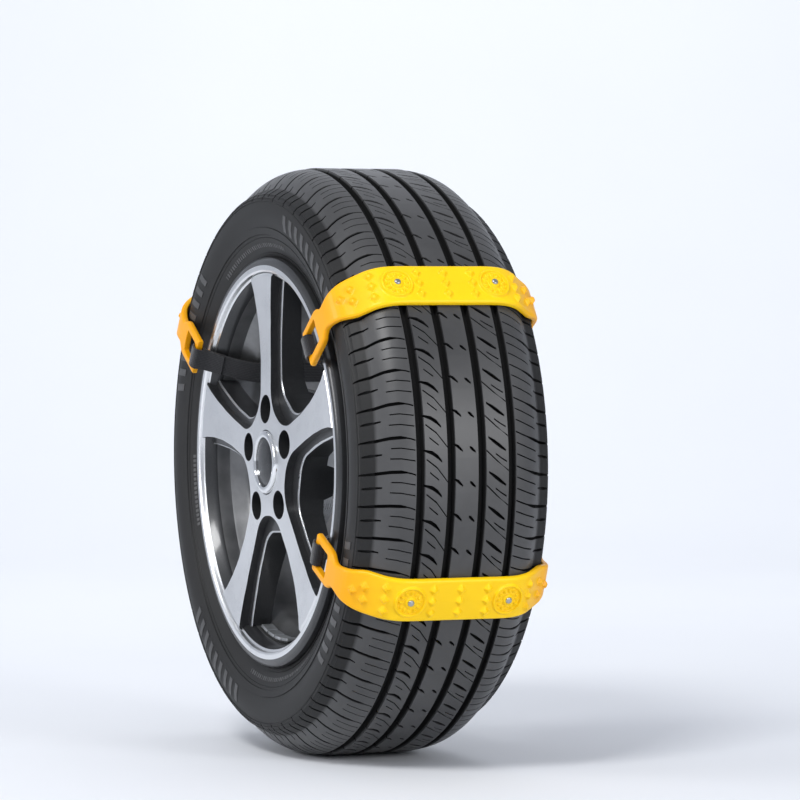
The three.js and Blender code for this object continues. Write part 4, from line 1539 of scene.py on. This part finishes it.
def on_valve_axis(piece):
    """Puts a piece turned about Y on the valve's own leaning axis."""
    radius, y = VALVE_SEAT
    lean = Matrix.Rotation(pi + radians(VALVE_TILT), 4, "X")
    moved(piece, Matrix.Translation((0, y * MM, radius * MM)) @ lean)
    return turned_about(piece, radians(VALVE_ANGLE))


class WHEEL_OT_valve_and_weights(bpy.types.Operator):
    """Model the valve, its core and cap, and the stuck-on balance weights"""

    bl_idname = "wheel.valve_and_weights"
    bl_label = "Valve and weights"

    def execute(self, context):
        self.valve()
        self.weights()
        ring = steel_finish("ring_steel", SPRING_STEEL, 0.25)
        painted(frame["nodes"]["cap_retaining_ring"], ring)
        return {"FINISHED"}

    def valve(self):
        stem = [(1.9, -8.5), (7.4, -8.5), (8, -8), (8.6, -6), (5.3, -4.6), (5.3, 4.6), (7.6, 5.8), (8, 6.4)]
        stem += [(7.4, 9), (6.2, 11.6), (5.5, 14), (5.2, 18), (5, 25), (3.9, 25.5), (3.9, 34), (1.9, 34)]
        rubber = plain_finish("valve_rubber", (0.02, 0.02, 0.021), 0.5)
        piece = painted(turned("valve_stem_skin", stem, 40), rubber)
        finished(smooth(on_valve_axis(piece)), "valve_rubber", "valve_stem")
        core = [(0, -7), (1.2, -7), (1.4, -6.6), (1.4, 24), (0.8, 25), (0.8, 33.2), (0.4, 33.6), (0, 33.6)]
        brass = plain_finish("valve_brass", (0.6, 0.42, 0.16), 0.3, 1.0)
        piece = painted(turned("valve_core", core, 20), brass)
        finished(smooth(on_valve_axis(piece)), "valve_brass", "valve_core_pin", body="valve_core")
        cap = [(5.2, 26.2), (5.2, 35.2), (4.8, 36.2), (4, 36.8), (0, 36.8)]
        cap += [(0, 34.9), (4.3, 34.9), (4.3, 26.2)]
        piece = turned("valve_cap_shell", cap, 48)
        flute = rod("flute_tool", 0.35, 27.4, 34.4, 8)
        moved(flute, Matrix.Translation((5.25 * MM, 0, 0)))
        turns = [Matrix.Rotation(i * pi / 9, 4, AXLE) for i in range(18)]
        flutes = [moved(copied(flute, "flute_tool"), turn) for turn in turns]
        bpy.data.objects.remove(flute)
        cut(piece, joined(flutes))
        painted(piece, plain_finish("valve_cap_plastic", (0.015, 0.015, 0.016), 0.4))
        finished(smooth(on_valve_axis(piece)), "cap_plastic", "valve_cap", body="valve_cap")

    def weights(self):
        zinc = plain_finish("weight_zinc", (0.34, 0.35, 0.36), 0.4, 0.8)
        for i in range(4):
            outline = [(-9, 0), (9, 0), (9, -2.8), (8, -3.8), (-8, -3.8), (-9, -2.8)]
            block = prism("weight", outline, WEIGHT_Y - 6.5, WEIGHT_Y + 6.5)
            moved(block, Matrix.Translation((0, 0, (TAPE_RADIUS - 1.4) * MM)))
            eased(block, 0.6, 3, 30)
            turned_about(block, radians(WEIGHT_ANGLE + WEIGHT_PITCH * (i - 1.5)))
            named(painted(block, zinc), f"zinc_weight_{i + 1}")
            finished(smooth(block), "weight_zinc", f"balance_weight_{i + 1}")
        half = radians(WEIGHT_PITCH * 2)
        rings = []
        for k in range(25):
            angle = -half + 2 * half * k / 24
            section = ((-6.8, -0.8), (6.8, -0.8), (6.8, 0), (-6.8, 0))
            spots = [(TAPE_RADIUS + lift, WEIGHT_Y + y) for y, lift in section]
            rings.append([(r * sin(angle) * MM, y * MM, r * cos(angle) * MM) for r, y in spots])
        tape = turned_about(skin("foam_tape_strip", rings), radians(WEIGHT_ANGLE))
        painted(tape, plain_finish("foam_tape", (0.02, 0.02, 0.02), 0.8))
        finished(smooth(tape), "foam_tape", "weight_tape")


# ---------- The stage ----------

CAMERA_AZIMUTH = radians(67.6)
CAMERA_ELEVATION = radians(1.56)
CAMERA_DISTANCE = 4.57
CAMERA_LENS = 189.9
CAMERA_RIGHT = 0.0521
CAMERA_UP = 0.0658

# The floor runs from its front edge to its back, then curves up through the cove into the wall.
FLOOR_FRONT = 8
FLOOR_BACK = -3
COVE = 2.5
WALL_TOP = 9
SWEEP_HALF_WIDTH = 9

# Each light's name, place, target, size and power in watts.
LIGHTS = (
    ("key", (1.6, -1.7, 2.2), (0, 0, 0), 0.8, 56),
    ("side", (-0.9, -3.0, 0.9), (0, 0, 0), 1.2, 34),
    ("front", (3.0, 0.9, 0.7), (0, 0, 0), 0.8, 34),
    ("wall", (-1.6, 0.7, 3.4), (-4.8, 2.0, 1.2), 2.4, 100),
)


class WHEEL_OT_stage(bpy.types.Operator):
    """Set the pale floor, the soft lights and the camera"""

    bl_idname = "wheel.stage"
    bl_label = "Stage"

    def execute(self, context):
        context.scene.view_settings.view_transform = "Standard"
        self.camera(context)
        self.sweep()
        self.lights(context)
        return {"FINISHED"}

    def camera(self, context):
        a, e = CAMERA_AZIMUTH, CAMERA_ELEVATION
        back = Vector((sin(a) * cos(e), -cos(a) * cos(e), sin(e)))
        turn = back.to_track_quat("Z", "Y")
        right, up = turn @ Vector((1, 0, 0)), turn @ Vector((0, 1, 0))
        place = back * CAMERA_DISTANCE + right * CAMERA_RIGHT + up * CAMERA_UP
        bpy.ops.object.camera_add(location=place, rotation=turn.to_euler())
        camera = context.object
        camera.name = "camera"
        camera.data.lens = CAMERA_LENS
        camera.data.sensor_width = 36
        camera.data.clip_end = 100
        context.scene.camera = camera

    def sweep(self):
        """A pale floor that curves up into a wall behind the wheel."""
        turns = [pi / 2 * k / 12 for k in range(1, 13)]
        profile = [(FLOOR_FRONT, 0), (2, 0), (FLOOR_BACK, 0)]
        profile += [(FLOOR_BACK - COVE * sin(turn), COVE - COVE * cos(turn)) for turn in turns]
        profile.append((FLOOR_BACK - COVE, WALL_TOP))
        across = [SWEEP_HALF_WIDTH * share for share in (-1, -1 / 3, 1 / 3, 1)]
        rows = [[(x, y, z - TYRE_RADIUS) for y in across] for x, z in profile]
        bpy.ops.object.select_all(action="DESELECT")
        bpy.ops.mesh.primitive_grid_add(x_subdivisions=3, y_subdivisions=len(rows) - 1)
        floor = named(bpy.context.object, "floor")
        place_vertices(floor, [point for row in rows for point in row])
        moved(floor, Matrix.Rotation(CAMERA_AZIMUTH - pi / 2, 4, "Z"))
        with editing(floor):
            bpy.ops.mesh.normals_make_consistent(inside=False)
        smooth(floor, 60)
        finish = Finish("stage_floor")
        mottle = finish.noise(1.5, 3)
        finish.feed("Base Color", finish.mix(mottle, (0.78, 0.8, 0.84), (0.82, 0.84, 0.87)))
        finish.feed("Roughness", 0.7 + mottle * 0.1)
        painted(floor, finish.material)

    def lights(self, context):
        world = bpy.data.worlds.new("studio")
        context.scene.world = world
        world.use_nodes = True
        world.node_tree.nodes["Background"].inputs[0].default_value = (0.86, 0.9, 1.0, 1)
        world.node_tree.nodes["Background"].inputs[1].default_value = 0.5
        for name, place, target, size, power in LIGHTS:
            bpy.ops.object.light_add(type="AREA", location=place)
            light = context.object
            light.name = name
            light.data.energy = power
            light.data.size = size
            light.rotation_euler = (Vector(place) - Vector(target)).to_track_quat("Z", "Y").to_euler()


# ---------- The add-on ----------


class VIEW3D_PT_wheel_with_belts(bpy.types.Panel):
    """Lists the wheel's pieces and their settings"""

    bl_label = "Wheel with Anti-skid Belts"
    bl_space_type = "VIEW_3D"
    bl_region_type = "UI"
    bl_category = "Wheel"

    def draw(self, context):
        for group in (settings().tyre, settings().wheel, settings().belt):
            box = self.layout.box()
            for name in group.__annotations__:
                box.prop(group, name)
        for operator in OPERATORS:
            self.layout.operator(operator.bl_idname)


OPERATORS = (
    WHEEL_OT_stage,
    WHEEL_OT_tyre,
    WHEEL_OT_alloy_wheel,
    WHEEL_OT_centre_cap,
    WHEEL_OT_traction_pads,
    WHEEL_OT_webbing,
    WHEEL_OT_buckles,
    WHEEL_OT_valve_and_weights,
)
CLASSES = (TyreSettings, WheelSettings, BeltSettings, WheelWithBelts, *OPERATORS, VIEW3D_PT_wheel_with_belts)


def register():
    for cls in CLASSES:
        bpy.utils.register_class(cls)
    bpy.types.Scene.wheel_with_belts = PointerProperty(type=WheelWithBelts)


def unregister():
    del bpy.types.Scene.wheel_with_belts
    for cls in reversed(CLASSES):
        bpy.utils.unregister_class(cls)


def main():
    """Builds every piece in order."""
    register()
    bpy.ops.wheel.stage()
    bpy.ops.wheel.tyre()
    bpy.ops.wheel.alloy_wheel()
    bpy.ops.wheel.centre_cap()
    bpy.ops.wheel.traction_pads()
    bpy.ops.wheel.webbing()
    bpy.ops.wheel.buckles()
    bpy.ops.wheel.valve_and_weights()


if __name__ == "__main__":
    main()
